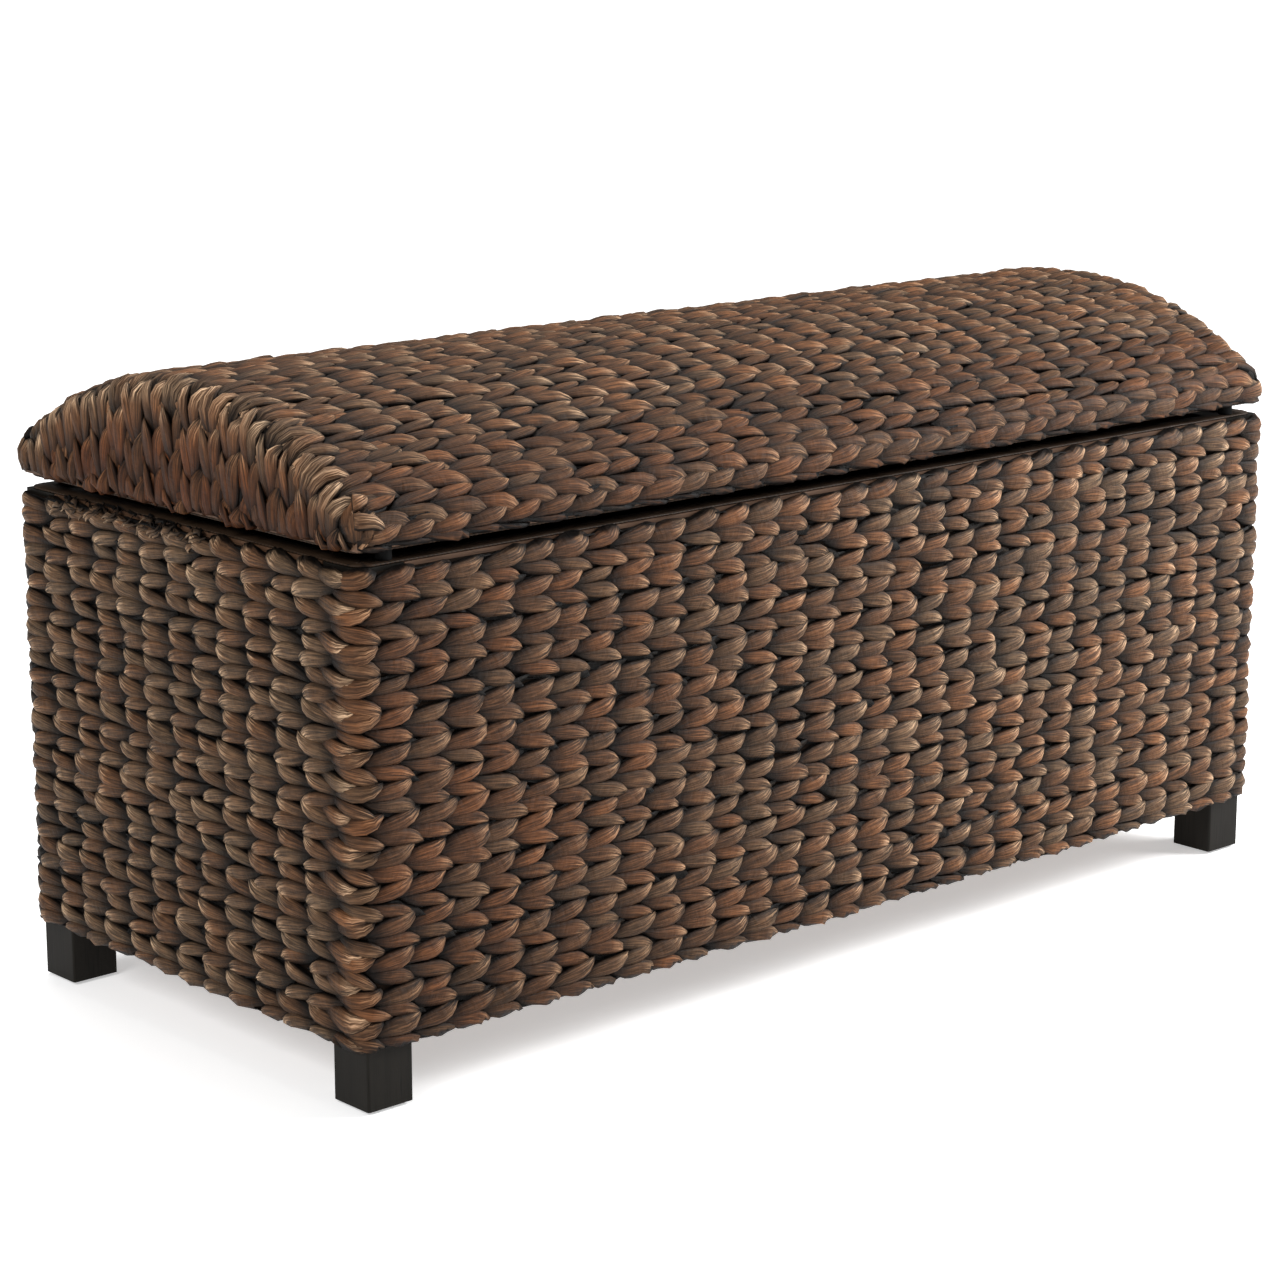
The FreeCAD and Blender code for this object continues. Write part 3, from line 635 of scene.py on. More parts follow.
def wall_outline(depth, turn, lead_in, lead_out):
    """Plan of a braid from the near left corner half way round: turn 1 by the front, -1 by the end."""
    radius = CORNER_RADIUS - depth
    x, y = COVER_X - depth, COVER_Y - depth
    quarter = math.pi / 2
    spots = [((-x, -COVER_Y + CORNER_RADIUS + lead_in), (-1, 0))]
    if turn > 0:
        spots += plan_corner(-1, -1, radius, math.pi, quarter)
        spots += plan_corner(1, -1, radius, -quarter, quarter)
        spots += plan_corner(1, 1, radius, 0, quarter)
        spots.append(((COVER_X - CORNER_RADIUS - lead_out, y), (0, 1)))
    else:
        spots += plan_corner(-1, 1, radius, math.pi, -quarter)
        spots += plan_corner(1, 1, radius, quarter, -quarter)
        spots.append(((x, COVER_Y - CORNER_RADIUS - lead_out), (1, 0)))
    return spots


def far_corner_outline(depth, lead_in, lead_out):
    """Plan of the far right corner alone, from the right end to the back."""
    x, y = COVER_X - depth, COVER_Y - depth
    spots = [((x, COVER_Y - CORNER_RADIUS - lead_in), (1, 0))]
    spots += plan_corner(1, 1, CORNER_RADIUS - depth, 0, math.pi / 2)
    spots.append(((COVER_X - CORNER_RADIUS - lead_out, y), (0, 1)))
    return spots


def between(a, b, t):
    return tuple(p + (q - p) * t for p, q in zip(a, b))


def wall_path(level, outline, turn, inward, rng, wander=WANDER):
    """A braid at one level of the walls, along a plan. It sags and swells a little by hand."""
    path = Path()
    drift = rng.uniform(-math.pi, math.pi, 3)
    high, low = RIM_Z - EDGE_RADIUS - level, level - FOOT_Z - EDGE_RADIUS
    if (turn > 0) == inward:
        high, low = low, high
    dense = []
    for (a, out_a), (b, out_b) in zip(outline, outline[1:]):
        pieces = max(1, round(math.dist(a, b) / WALL_STEP))
        parts = [piece / pieces for piece in range(pieces)]
        dense += [(between(a, b, t), between(out_a, out_b, t)) for t in parts]
    dense.append(outline[-1])
    run = 0.0
    previous = dense[0][0]
    for spot, out in dense:
        run += math.dist(spot, previous)
        previous = spot
        sag = math.sin(run * 7 + drift[0]) + 0.6 * math.sin(run * 17 + drift[1])
        sag += 0.4 * math.sin(run * 31 + drift[2])
        swell = 0.0004 * math.sin(run * 11 + drift[1] * 2)
        sink = 0.0006 if spot[1] > COVER_Y - CORNER_RADIUS else -swell
        # Painted shade: the front wall grows darker and redder towards its left.
        leftward = min(1.0, max(0.0, (0.18 - spot[0]) / 0.6))
        stain = FRONT_LEFT_SHADE * leftward * max(0.0, -out[1])
        facing = tuple(-v for v in out) if inward else out
        path.add((*spot, level + wander * sag * 0.5), (*facing, 0), high, low, -stain, sink=sink)
    return path


def lid_profile(v, depth):
    """Place and way out on the lid's arch, v metres round from the ridge, negative to the front."""
    side = -1 if v < 0 else 1
    run = abs(v)
    if run <= DOME_ARC:
        a = run / DOME_RADIUS
        y, z = DOME_RADIUS * math.sin(a), DOME_Z + DOME_RADIUS * math.cos(a)
    elif run <= DOME_ARC + SHOULDER_ARC:
        a = SHOULDER_TURN + (run - DOME_ARC) / SHOULDER_RADIUS
        y, z = SHOULDER_Y + SHOULDER_RADIUS * math.sin(a), SHOULDER_Z + SHOULDER_RADIUS * math.cos(a)
    else:
        a = math.pi / 2
        y, z = COVER_Y, SHOULDER_Z - (run - DOME_ARC - SHOULDER_ARC)
    out = (side * math.sin(a), math.cos(a))
    return (side * y - out[0] * depth, z - out[1] * depth), out


def lid_end(v, depth, end):
    """One end of a lid braid, from the foot up to the arch, as (place, out, rubbed) with end -1 or 1. Rubbed
    is above 0 for wear and painted highlight, below 0 for stain and painted shade.
    """
    radius = CORNER_RADIUS - depth
    fold = EDGE_RADIUS - depth if depth < EDGE_RADIUS else 0.001
    (y, z), (ny, nz) = lid_profile(v, depth)
    arc_x = end * (COVER_X - CORNER_RADIUS)
    face_x = end * (COVER_X - depth)
    if nz <= ON_DOME:
        side = -1 if v < 0 else 1
        cy = side * (COVER_Y - CORNER_RADIUS)
        reach_y = abs(y) - abs(cy)
        # The ends of rows on the dome are a little rubbed light, partly a painted highlight.
        return [
            (
                (arc_x + end * radius * math.cos(a), cy + side * reach_y * math.sin(a), z),
                (end * math.cos(a), ny * math.sin(a), nz * math.sin(a)),
                0.3,
            )
            for a in turns(8, 4)
        ]
    cy, cz = y - ny * radius, z - nz * radius
    fold_z = LID_Z + EDGE_RADIUS
    spots = [((face_x - end * 0.007, cy, fold_z - fold), (0, 0, -1), -1.0)]
    for a in turns(3):
        spot = (face_x - end * fold * (1 - math.sin(a)), cy, fold_z - fold * math.cos(a))
        spots.append((spot, (end * math.sin(a), 0, -math.cos(a)), -1.0))
    rise = cz - fold_z
    pieces = max(1, round(rise / 0.02))
    for piece in range(1, pieces):
        part = piece / pieces
        # The stain, partly painted shade, is darkest at the foot, and near the arch the fibre is rubbed
        # light, partly a painted highlight.
        spots.append(((face_x, cy, fold_z + rise * part), (end, 0, 0), part**4 * 1.3 - 1.0))
    for a in turns(6):
        out = (end * math.cos(a), ny * math.sin(a), nz * math.sin(a))
        x = arc_x + end * radius * math.cos(a)
        spot = (x, cy + ny * radius * math.sin(a), cz + nz * radius * math.sin(a))
        spots.append((spot, out, 0.9 * math.sin(a * 2) + 0.15))
    return spots


def lid_post(side, end, turn, depth):
    """A short braid that climbs one corner of the lid from the foot and runs in under the others."""
    radius = CORNER_RADIUS - depth
    a = math.radians(turn)
    way = (end * math.cos(a), side * math.sin(a))
    cx, cy = end * (COVER_X - CORNER_RADIUS), side * (COVER_Y - CORNER_RADIUS)
    top = lid_profile(LID_ARC - 0.034, depth)[0][1] - 0.010
    fold = EDGE_RADIUS - depth
    path = Path()

    def put(inset, z, out, rise, sink=0.0):
        spot = (cx + way[0] * (radius - inset), cy + way[1] * (radius - inset), z)
        path.add(spot, (way[0] * out, way[1] * out, rise), curl=0.5 / radius, sink=sink)

    for inset in (0.007, fold):
        put(inset, LID_Z + depth, 0.0, -1.0)
    for z in (LID_Z + EDGE_RADIUS, top - 0.008):
        put(0.0, z, 1.0, 0.0)
    for step, b in enumerate(turns(5, sweep=math.radians(70))):
        inset = POST_ROUNDING * (1 - math.cos(b))
        put(inset, top + POST_ROUNDING * math.sin(b), math.cos(b), math.sin(b), 0.0004 * step)
    for run in (0.012, 0.024, 0.040):
        put(0.012 + run, top + 0.017 + run * 0.35, 0.3, 0.95, 0.002 + run * 0.08)
    return path


def lid_path(number, rows, depth, inward, rng, wander=WANDER):
    """A row of the lid from the foot of its left end over the arch to the foot of its right end."""
    path = Path()
    v = (LID_ARC - 0.0075) * number / rows
    drift = rng.uniform(-math.pi, math.pi, 2)
    (_, z), (_, nz) = lid_profile(v, depth)
    front = number < 0
    curl = 0.0
    if 0.35 < nz < 0.80:
        curl = 0.5 / (SHOULDER_RADIUS - depth)
    elif nz > 0.8:
        curl = 0.5 / DOME_RADIUS
    curl = -curl if inward else curl
    to_foot = (z - LID_Z - EDGE_RADIUS) if nz < 0.3 else 1.0
    folds = (1.0, to_foot) if front != inward else (to_foot, 1.0)
    sink = 0.0009 if not front and nz < 0.8 else 0.0
    slim = 1.04 * max(nz, 0.88)
    # The rows along the lid's front edge are darker and redder.
    stain = -LID_EDGE_DARKENING if front and nz < 0.9 else 0.0

    def put(place, out, rubbed, bend=0.0, folded=nz <= ON_DOME):
        facing = tuple(-c for c in out) if inward else out
        high, low = folds if folded else (1.0, 1.0)
        path.add(place, facing, high, low, rubbed, bend, 1.0 if folded else slim, sink)

    for spot in lid_end(v, depth, -1):
        put(*spot)
    span = COVER_X - CORNER_RADIUS - 0.012
    for step in range(LID_STEPS + 1):
        x = -span + 2 * span * step / LID_STEPS
        sway = wander * (math.sin(x * 9 + drift[0]) + 0.5 * math.sin(x * 23 + drift[1])) * 0.6
        (py, pz), (oy, oz) = lid_profile(v + (sway if nz > 0.3 else 0), depth)
        put((x, py, pz), (0, oy, oz), stain, curl, True)
    for spot in reversed(lid_end(v, depth, 1)):
        put(*spot)
    return path


# Braiding with Geometry Nodes


def new_tree(name, inputs):
    """A node tree with named inputs, each given by its kind or by its default number."""
    tree = bpy.data.node_groups.new(name, "GeometryNodeTree")
    for label, default in inputs.items():
        kind = default if isinstance(default, str) else type(default).__name__.capitalize()
        socket = tree.interface.new_socket(label, in_out="INPUT", socket_type=f"NodeSocket{kind}")
        if kind is not default:
            socket.default_value = default
    tree.interface.new_socket("Geometry", in_out="OUTPUT", socket_type="NodeSocketGeometry")
    board = Board(tree)
    entry = tree.nodes.new("NodeGroupInput")
    return tree, board, {label: Wire(board, entry.outputs[label]) for label in inputs}


def finish_tree(board, geometry, given):
    """Realize Instances and Set Material, then out."""
    real = board.add("GeometryNodeRealizeInstances", {"Geometry": geometry})
    smooth = board.add("GeometryNodeSetShadeSmooth", {"Geometry": real})
    dressed = board.add("GeometryNodeSetMaterial", {"Geometry": smooth, "Material": given["Finish"]})
    board.add("NodeGroupOutput", {"Geometry": dressed})


BRAID_INPUTS = {
    "Paths": "Geometry",
    "Leaves": "Collection",
    "Finish": "Material",
    "Leaf step": 0.032,
    "End room": 0.03,
    "Head start": 0.0,
    "Phase": 0.2,
    "Tilt": 0.27,
    "Halves": 2,
    "Unevenness": 1.0,
    "Length": 1.0,
    "Width": 1.0,
    "Thickness": 1.0,
    "Lift": 0.0,
    "Fold radius": 0.002,
    "Fold reach": 0.0052,
    "Tint low": 0.0,
    "Tint high": 1.0,
    "Seed": 0,
}


def braid_tree():
    """Lays leaves flat along each path, then bends them onto it."""
    tree, board, given = new_tree("Braided rows", BRAID_INPUTS)
    named, seed = board.named, given["Seed"]

    def vary(amount, number):
        return board.dice(-amount, amount, seed + number) * given["Unevenness"]

    lines = board.add("GeometryNodeMeshToCurve", {"Mesh": given["Paths"]})
    order = {"Value": board.add("GeometryNodeInputIndex")}
    row = board.add("GeometryNodeFieldOnDomain", order, data_type="INT", domain="CURVE")
    lines = board.store(lines, "row", row, "INT")
    whole = board.add("GeometryNodeSplineLength", out="Length")
    lines = board.store(lines, "whole", whole, "FLOAT", "CURVE")
    even = {"Curve": lines, "Length": given["Leaf step"]}
    spaced = board.add("GeometryNodeResampleCurve", even, mode="LENGTH")
    steps = board.add("GeometryNodeSplineLength", out="Point Count") - 1
    run = board.add("GeometryNodeSplineParameter", out="Index") * named("whole") / steps
    spaced = board.store(spaced, "run", run)
    spaced = board.store(spaced, "left_over", named("whole") - named("run"))
    spots = board.add("GeometryNodeCurveToPoints", {"Curve": spaced}, mode="EVALUATED")
    too_far = {"Geometry": spots, "Selection": named("left_over").math("LESS_THAN", given["End room"])}
    spots = board.add("GeometryNodeDeleteGeometry", too_far, domain="POINT")
    halves = {"Geometry": spots, "Amount": given["Halves"]}
    doubled = board.add("GeometryNodeDuplicateElements", halves, domain="POINT")
    half = doubled.also("Duplicate Index")
    side = 1 - half * 2

    phase = board.dice(-0.5, 0.5, seed + 14, ID=named("row", "INT")) * given["Phase"] * given["Leaf step"]
    start = named("run") + phase - given["Head start"]
    flat = board.combine(start + vary(0.0024, 1) + half * 0.0016, vary(0.0007, 2), vary(0.0003, 3))
    laid = board.add("GeometryNodeSetPosition", {"Geometry": doubled, "Position": flat})
    chosen = board.dice(0, SHAPES - 1, seed + 4, "INT") + half * SHAPES
    bold = board.dice(0.0, 1.0, seed + 5).math("GREATER_THAN", 0.90) * given["Unevenness"]
    turn = board.combine(vary(0.12, 6), vary(0.02, 7), side * given["Tilt"] + vary(0.055, 8))
    size = board.combine(
        given["Length"] * (1 + vary(0.09, 9) + bold * 0.05),
        given["Width"] * (1 + vary(0.13, 10) + bold * 0.16 + side * 0.05),
        given["Thickness"] * (1 + vary(0.08, 11) + bold * 0.06 + side * 0.03),
    )
    inputs = {"Collection": given["Leaves"], "Separate Children": True, "Reset Children": True}
    leaves = board.add("GeometryNodeCollectionInfo", inputs, transform_space="ORIGINAL")
    inputs = {"Points": laid, "Instance": leaves, "Pick Instance": True, "Instance Index": chosen}
    placed = board.add("GeometryNodeInstanceOnPoints", {**inputs, "Rotation": turn, "Scale": size})
    tint = board.dice(given["Tint low"], given["Tint high"], seed + 12)
    placed = board.store(placed, "tint", tint, "FLOAT", "INSTANCE")
    placed = board.store(placed, "shift", board.dice(0.0, 900.0, seed + 13), "FLOAT", "INSTANCE")
    real = board.add("GeometryNodeRealizeInstances", {"Geometry": placed})
    grain = board.vector("ADD", named("grain", "FLOAT_VECTOR"), board.combine(0.0, 0.0, named("shift")))
    real = board.store(real, "grain", grain, "FLOAT_VECTOR")

    here = board.split(board.add("GeometryNodeInputPosition"))
    height = here.also("Z") + given["Lift"]
    inputs = {"Curves": lines, "Length": here.math("MAXIMUM", 0.0), "Curve Index": named("row", "INT")}

    def sampled(name):
        wanted = {**inputs, "Value": named(name, "FLOAT_VECTOR")}
        return board.add("GeometryNodeSampleCurve", wanted, "Value", mode="LENGTH", data_type="FLOAT_VECTOR")

    outward = sampled("out")
    fold = board.split(sampled("fold"))
    form = board.split(sampled("form"))
    along = outward.also("Tangent")
    up = board.vector("NORMALIZE", board.vector("CROSS_PRODUCT", outward, along))
    away = board.vector("NORMALIZE", board.vector("CROSS_PRODUCT", along, up))
    across = here.also("Y") * form.also("Y")
    bounded = across.math("MINIMUM", fold).math("MAXIMUM", -fold.also("Y"))
    past = across - bounded
    past_size = past.math("ABSOLUTE")
    radius = given["Fold radius"]
    angle = (past_size / radius).math("MINIMUM", math.pi / 2)
    beyond = (past_size - radius * (math.pi / 2)).math("MAXIMUM", 0.0).math("MINIMUM", given["Fold reach"])
    level = height - form.also("Z")
    move_up = bounded + past.math("SIGN") * (radius + level) * angle.math("SINE")
    move_out = level * angle.math("COSINE") - radius * (1 - angle.math("COSINE")) - beyond
    move_out = move_out - (form + BRAID_CROWN) * across * across
    landed = board.vector("ADD", outward.also("Position"), board.vector("SCALE", up, scale=move_up))
    landed = board.vector("ADD", landed, board.vector("SCALE", away, scale=move_out))
    # The raised share is the mask for the painted shade in the gaps. The cover's own curve isn't a hollow
    # between braids, so it is added back.
    raised = ((move_out + form * across * across + GAP_FLOOR) / GAP_HEIGHT).clamp()
    real = board.store(real, "raised", raised)
    # The rubbed value: wear and painted highlight above 0, stain and painted shade below 0.
    real = board.store(real, "rubbed", fold.also("Z"))
    bent = board.add("GeometryNodeSetPosition", {"Geometry": real, "Position": landed})
    finish_tree(board, bent, given)
    return tree


WRAP_INPUTS = {
    "Paths": "Geometry",
    "Finish": "Material",
    "Width": 0.019,
    "Thickness": 0.0018,
    "Winding": 0.0042,
    "Relief": 0.0002,
}


def wrap_tree():
    """Runs a flat strip round a loop and winds it with fibre."""
    tree, board, given = new_tree("Wound strip", WRAP_INPUTS)
    lines = board.add("GeometryNodeMeshToCurve", {"Mesh": given["Paths"]})
    even = {"Curve": lines, "Length": given["Winding"] / 4.0}
    fine = board.add("GeometryNodeResampleCurve", even, mode="LENGTH")
    phase = (board.add("GeometryNodeSplineParameter", out="Length") / given["Winding"]).math("FRACT")
    fine = board.store(fine, "wound", (phase * math.pi).math("SINE"))
    sides = {"Width": given["Width"], "Height": given["Thickness"]}
    section = board.add("GeometryNodeCurvePrimitiveQuadrilateral", sides, mode="RECTANGLE")
    rounded = {"Curve": section, "Count": 1, "Radius": STRIP_ROUNDING}
    section = board.add("GeometryNodeFilletCurve", rounded, mode="POLY")
    sweep = {"Curve": fine, "Profile Curve": section, "Fill Caps": False}
    strip = board.add("GeometryNodeCurveToMesh", sweep)
    relief = (board.named("wound") - 1.0) * given["Relief"]
    swell = board.vector("SCALE", board.add("GeometryNodeInputNormal"), scale=relief)
    strip = board.add("GeometryNodeSetPosition", {"Geometry": strip, "Offset": swell})
    finish_tree(board, strip, given)
    return tree


def linked(name, mesh):
    piece = bpy.data.objects.new(name, mesh)
    bpy.context.scene.collection.objects.link(piece)
    return piece


def applied(host):
    """The plain mesh that a source object's modifiers make. The object itself is removed."""
    depsgraph = bpy.context.evaluated_depsgraph_get()
    mesh = bpy.data.meshes.new_from_object(host.evaluated_get(depsgraph), depsgraph=depsgraph)
    host.modifiers.clear()
    bpy.data.objects.remove(host)
    return mesh


def grown(name, source, tree, values):
    """Runs a tree on a source mesh and keeps the result as a plain mesh object."""
    host = linked(f"{name} source", source)
    modifier = host.modifiers.new("Maker", "NODES")
    modifier.node_group = tree
    for socket in tree.interface.items_tree:
        if socket.in_out == "INPUT" and socket.name in values:
            modifier[socket.identifier] = values[socket.name]
    mesh = applied(host)
    if not mesh.polygons:
        raise RuntimeError(f"{name} came out empty")
    for label in ("row", "run", "whole", "left_over", "shift"):
        if label in mesh.attributes:
            mesh.attributes.remove(mesh.attributes[label])
    mesh.name = name
    return linked(name, mesh)


def core(name, points, faces, body):
    """A thin closed skin from an open one: the dark core between two layers of braid, its near-black a
    painted shade.
    """
    skin = bpy.data.meshes.new(name)
    skin.from_pydata(points, [], faces, shade_flat=False)
    host = linked(f"{name} source", skin)
    solid = host.modifiers.new("Thickness", "SOLIDIFY")
    solid.thickness = CORE_THICK
    solid.offset = -1.0
    mesh = applied(host)
    mesh.materials.clear()
    mesh.materials.append(shared("backing", backing_finish))
    own(linked(name, mesh), body, WEAVES[body])


# Operators

# The CAD node that each body's braided pieces stand for.
WEAVES = {"trunk": "woven_walls", "lid": "lid_weave"}
LINING = {"kind": "inner leaf", "Thickness": 0.36, "Fold radius": 0.0008, "Fold reach": 0.0004}


def own(piece, body, node):
    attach(piece, body)
    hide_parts(node)


def shared(kind, maker):
    """A finish, tree or collection made once and then reused."""
    if kind not in shared.made:
        shared.made[kind] = maker()
    return shared.made[kind]


shared.made = {}


def begin(context, offset):
    """The braid's settings, and this step's own random draws."""
    settings = context.scene.trunk_braid
    return settings, np.random.default_rng(settings.seed + offset)


def braid(name, paths, body, settings, offset, kind="leaf", **changes):
    """One braided piece from its paths."""
    values = {
        "Leaves": shared(kind, lambda: leaf_collection(kind, settings)),
        "Finish": shared("fibre", lambda: fibre_finish(settings)),
        "Leaf step": settings.leaf_step,
        "Tilt": settings.tilt,
        "Unevenness": settings.unevenness,
        "Seed": settings.seed + offset,
    }
    values.update(changes)
    piece = grown(name, paths_mesh(name, paths), shared("braid", braid_tree), values)
    own(piece, body, WEAVES[body])


def wall_step(rows):
    return (RIM_Z - RIM_ROOM - FOOT_Z) / rows


def wall_levels(rows):
    return [FOOT_Z + wall_step(rows) * (row + 0.5) for row in range(rows)]


class TRUNK_OT_walls(bpy.types.Operator):
    """Braid the outside of the four walls, from the near left corner both ways round"""

    bl_idname = "trunk.walls"
    bl_label = "Outer walls"

    def execute(self, context):
        settings, rng = begin(context, 0)
        ways = (("walls_front_right", 1, 0.022, (0.12, 1.0)), ("walls_left_back", -1, 0.004, (0.0, 0.62)))
        for number, (name, turn, lead_in, (low, high)) in enumerate(ways):
            outline = wall_outline(OUTER_DEPTH, turn, lead_in, 0.040)
            paths = [wall_path(level, outline, turn, False, rng) for level in wall_levels(settings.wall_rows)]
            changes = {"End room": 0.095, "Tint low": low, "Tint high": high}
            braid(name, paths, "trunk", settings, 40 * number, **changes)
        return {"FINISHED"}


class TRUNK_OT_corner_leaves(bpy.types.Operator):
    """Tuck single leaves across the two corners where the braids start and end"""

    bl_idname = "trunk.corner_leaves"
    bl_label = "Corner leaves"

    def execute(self, context):
        settings, rng = begin(context, 3)
        rows = settings.wall_rows
        near = wall_outline(OUTER_DEPTH, 1, 0.040, 0.0)
        seams = [FOOT_Z + wall_step(rows) * row for row in range(rows + 1)]
        levels = [min(max(seam, FOOT_Z + EDGE_RADIUS), RIM_Z - CORNER_LEAF_ROOM) for seam in seams]
        paths = [wall_path(level, near, 1, False, rng, 0.0).part(0.0, CORNER_REACH) for level in levels]
        far = far_corner_outline(OUTER_DEPTH + 0.0008, 0.016, 0.040)
        paths += [wall_path(level, far, 1, False, rng, 0.0) for level in wall_levels(rows)]
        changes = {"Halves": 1, "Tilt": 0.0, "Leaf step": 0.5, "Phase": 0.0, "End room": 0.02}
        changes.update({"Width": 1.05, "Lift": -0.0004})
        braid("walls_corner_leaves", paths, "trunk", settings, 90, **changes)
        return {"FINISHED"}


class TRUNK_OT_rim_fray(bpy.types.Operator):
    """Scatter short torn fibres along the rim of the left end"""

    bl_idname = "trunk.rim_fray"
    bl_label = "Torn fibres"

    def execute(self, context):
        settings, rng = begin(context, 8)
        whole = wall_path(RIM_Z - 0.0045, wall_outline(OUTER_DEPTH, -1, 0.0, 0.0), -1, False, rng)
        changes = {"Leaf step": 0.0050, "Tilt": 0.45, "Unevenness": 4.0, "Thickness": 0.16}
        changes.update({"Lift": 0.0030, "Tint high": 0.3})
        braid("rim_fray", [whole.part(*FRAY_REACH)], "trunk", settings, 700, "torn fibre", **changes)
        return {"FINISHED"}


class TRUNK_OT_wall_lining(bpy.types.Operator):
    """Braid the inside of the walls and put the dark core between the two layers"""

    bl_idname = "trunk.wall_lining"
    bl_label = "Wall lining"

    def execute(self, context):
        settings, rng = begin(context, 1)
        paths = [
            wall_path(level, wall_outline(INNER_DEPTH, turn, 0.0, 0.0), turn, True, rng, LINING_WANDER)
            for turn in (1, -1)
            for level in wall_levels(settings.wall_rows)
        ]
        braid("walls_lining", paths, "trunk", settings, 200, **LINING, **{"End room": 0.02})
        loop = wall_outline(BACKING_DEPTH, 1, 0, 0)[1:-1]
        loop += plan_corner(-1, 1, CORNER_RADIUS - BACKING_DEPTH, math.pi / 2, math.pi / 2)
        count = len(loop)
        levels = (FOOT_Z + BACKING_DEPTH - 0.002, RIM_Z - BACKING_DEPTH + 0.002)
        points = [(*spot, z) for z in levels for spot, _ in loop]
        faces = [(i, (i + 1) % count, count + (i + 1) % count, count + i) for i in range(count)]
        core("walls_core", points, faces, "trunk")
        return {"FINISHED"}


class TRUNK_OT_lid(bpy.types.Operator):
    """Braid the lid: every row climbs the left end, crosses the dome and turns down the right end"""

    bl_idname = "trunk.lid"
    bl_label = "Lid braids"

    def execute(self, context):
        settings, rng = begin(context, 5)
        rows = settings.lid_rows
        paths = [lid_path(number, rows, OUTER_DEPTH, False, rng) for number in range(-rows, rows + 1)]
        corners = [(side, end, turn) for side in (-1, 1) for end in (-1, 1) for turn in POST_TURNS]
        paths += [lid_post(*corner, OUTER_DEPTH + 0.0012) for corner in corners]
        changes = {"End room": 0.008, "Head start": 0.022, "Phase": 0.9, "Length": 1.06}
        braid("lid_braids", paths, "lid", settings, 400, **changes, **{"Tint low": 0.26})
        ends = []
        for number in range(-rows + 2, rows - 2):
            path = lid_path(number + 0.5, rows, OUTER_DEPTH + 0.0026, False, rng)
            ends += [path.part(0.0, LID_END_REACH), path.part(-LID_END_REACH, math.inf)]
        braid("lid_end_braids", ends, "lid", settings, 500, **changes, **{"Tint low": 0.3, "Width": 1.15})
        return {"FINISHED"}


class TRUNK_OT_lid_lining(bpy.types.Operator):
    """Braid the underside of the lid and put the dark core between the two layers"""

    bl_idname = "trunk.lid_lining"
    bl_label = "Lid lining"

    def execute(self, context):
        settings, rng = begin(context, 6)
        rows = settings.lid_rows
        numbers = range(-rows, rows + 1)
        paths = [lid_path(number, rows, INNER_DEPTH, True, rng, LINING_WANDER) for number in numbers]
        braid("lid_lining", paths, "lid", settings, 600, **LINING, **{"End room": 0.036})
        reach = LID_ARC - 0.005
        foot_z = lid_profile(-reach, BACKING_DEPTH)[0][1]
        half = COVER_X - BACKING_DEPTH
        inset = 0.012
        points = []
        for x, shrink in ((-half, inset), (-half + inset, 0.0), (half - inset, 0.0), (half, inset)):
            for run in turns(ARCH_STEPS, sweep=2 * reach):
                y, z = lid_profile(run - reach, BACKING_DEPTH + shrink)[0]
                points.append((x, y, max(z, foot_z)))
        count = ARCH_STEPS + 1
        starts = [station * count + step for station in range(3) for step in range(ARCH_STEPS)]
        faces = [(a, a + count, a + count + 1, a + 1) for a in starts]
        faces.append(tuple(range(count)))
        faces.append(tuple(reversed(range(3 * count, 4 * count))))
        core("lid_core", points, faces, "lid")
        return {"FINISHED"}


def strip_loop(level):
    """The line down the middle of a rim strip, round all four sides."""
    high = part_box("rim_binding")[1]
    width = high.y - STRIP_INNER_Y
    x, y = high.x - width / 2 - STRIP_CORNER, high.y - width / 2 - STRIP_CORNER
    points = []
    for sx, sy, start in ((-1, -1, 180), (1, -1, 270), (1, 1, 0), (-1, 1, 90)):
        for step in range(5):
            a = math.radians(start + 90 * step / 4)
            points.append((sx * x + STRIP_CORNER * math.cos(a), sy * y + STRIP_CORNER * math.sin(a), level))
    mesh = bpy.data.meshes.new("strip loop")
    mesh.from_pydata(points, [(i, (i + 1) % len(points)) for i in range(len(points))], [])
    return mesh


class TRUNK_OT_rim_strips(bpy.types.Operator):
    """Wind the flat strips along the rim of the walls and the foot of the lid"""

    bl_idname = "trunk.rim_strips"
    bl_label = "Rim strips"

    def execute(self, context):
        finish = wrap_finish(context.scene.trunk_braid)
        tree = wrap_tree()
        for name, body, node in (("rim_strip", "trunk", "rim_binding"), ("lid_strip", "lid", "lid_binding")):
            low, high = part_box(node)
            piece = grown(name, strip_loop((low.z + high.z) / 2), tree, {"Finish": finish})
            own(piece, body, node)
        return {"FINISHED"}


def dress(node, finish):
    """Puts a finish on a CAD node without touching its mesh."""
    piece = frame["nodes"][node]
    if not piece.material_slots:
        piece.data.materials.append(finish)
    for slot in piece.material_slots:
        slot.material = finish


def grain_axis(node):
    """The longest side of a piece of wood, along which its grain runs."""
    low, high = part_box(node)
    sides = [b - a for a, b in zip(low, high)]
    return sides.index(max(sides))


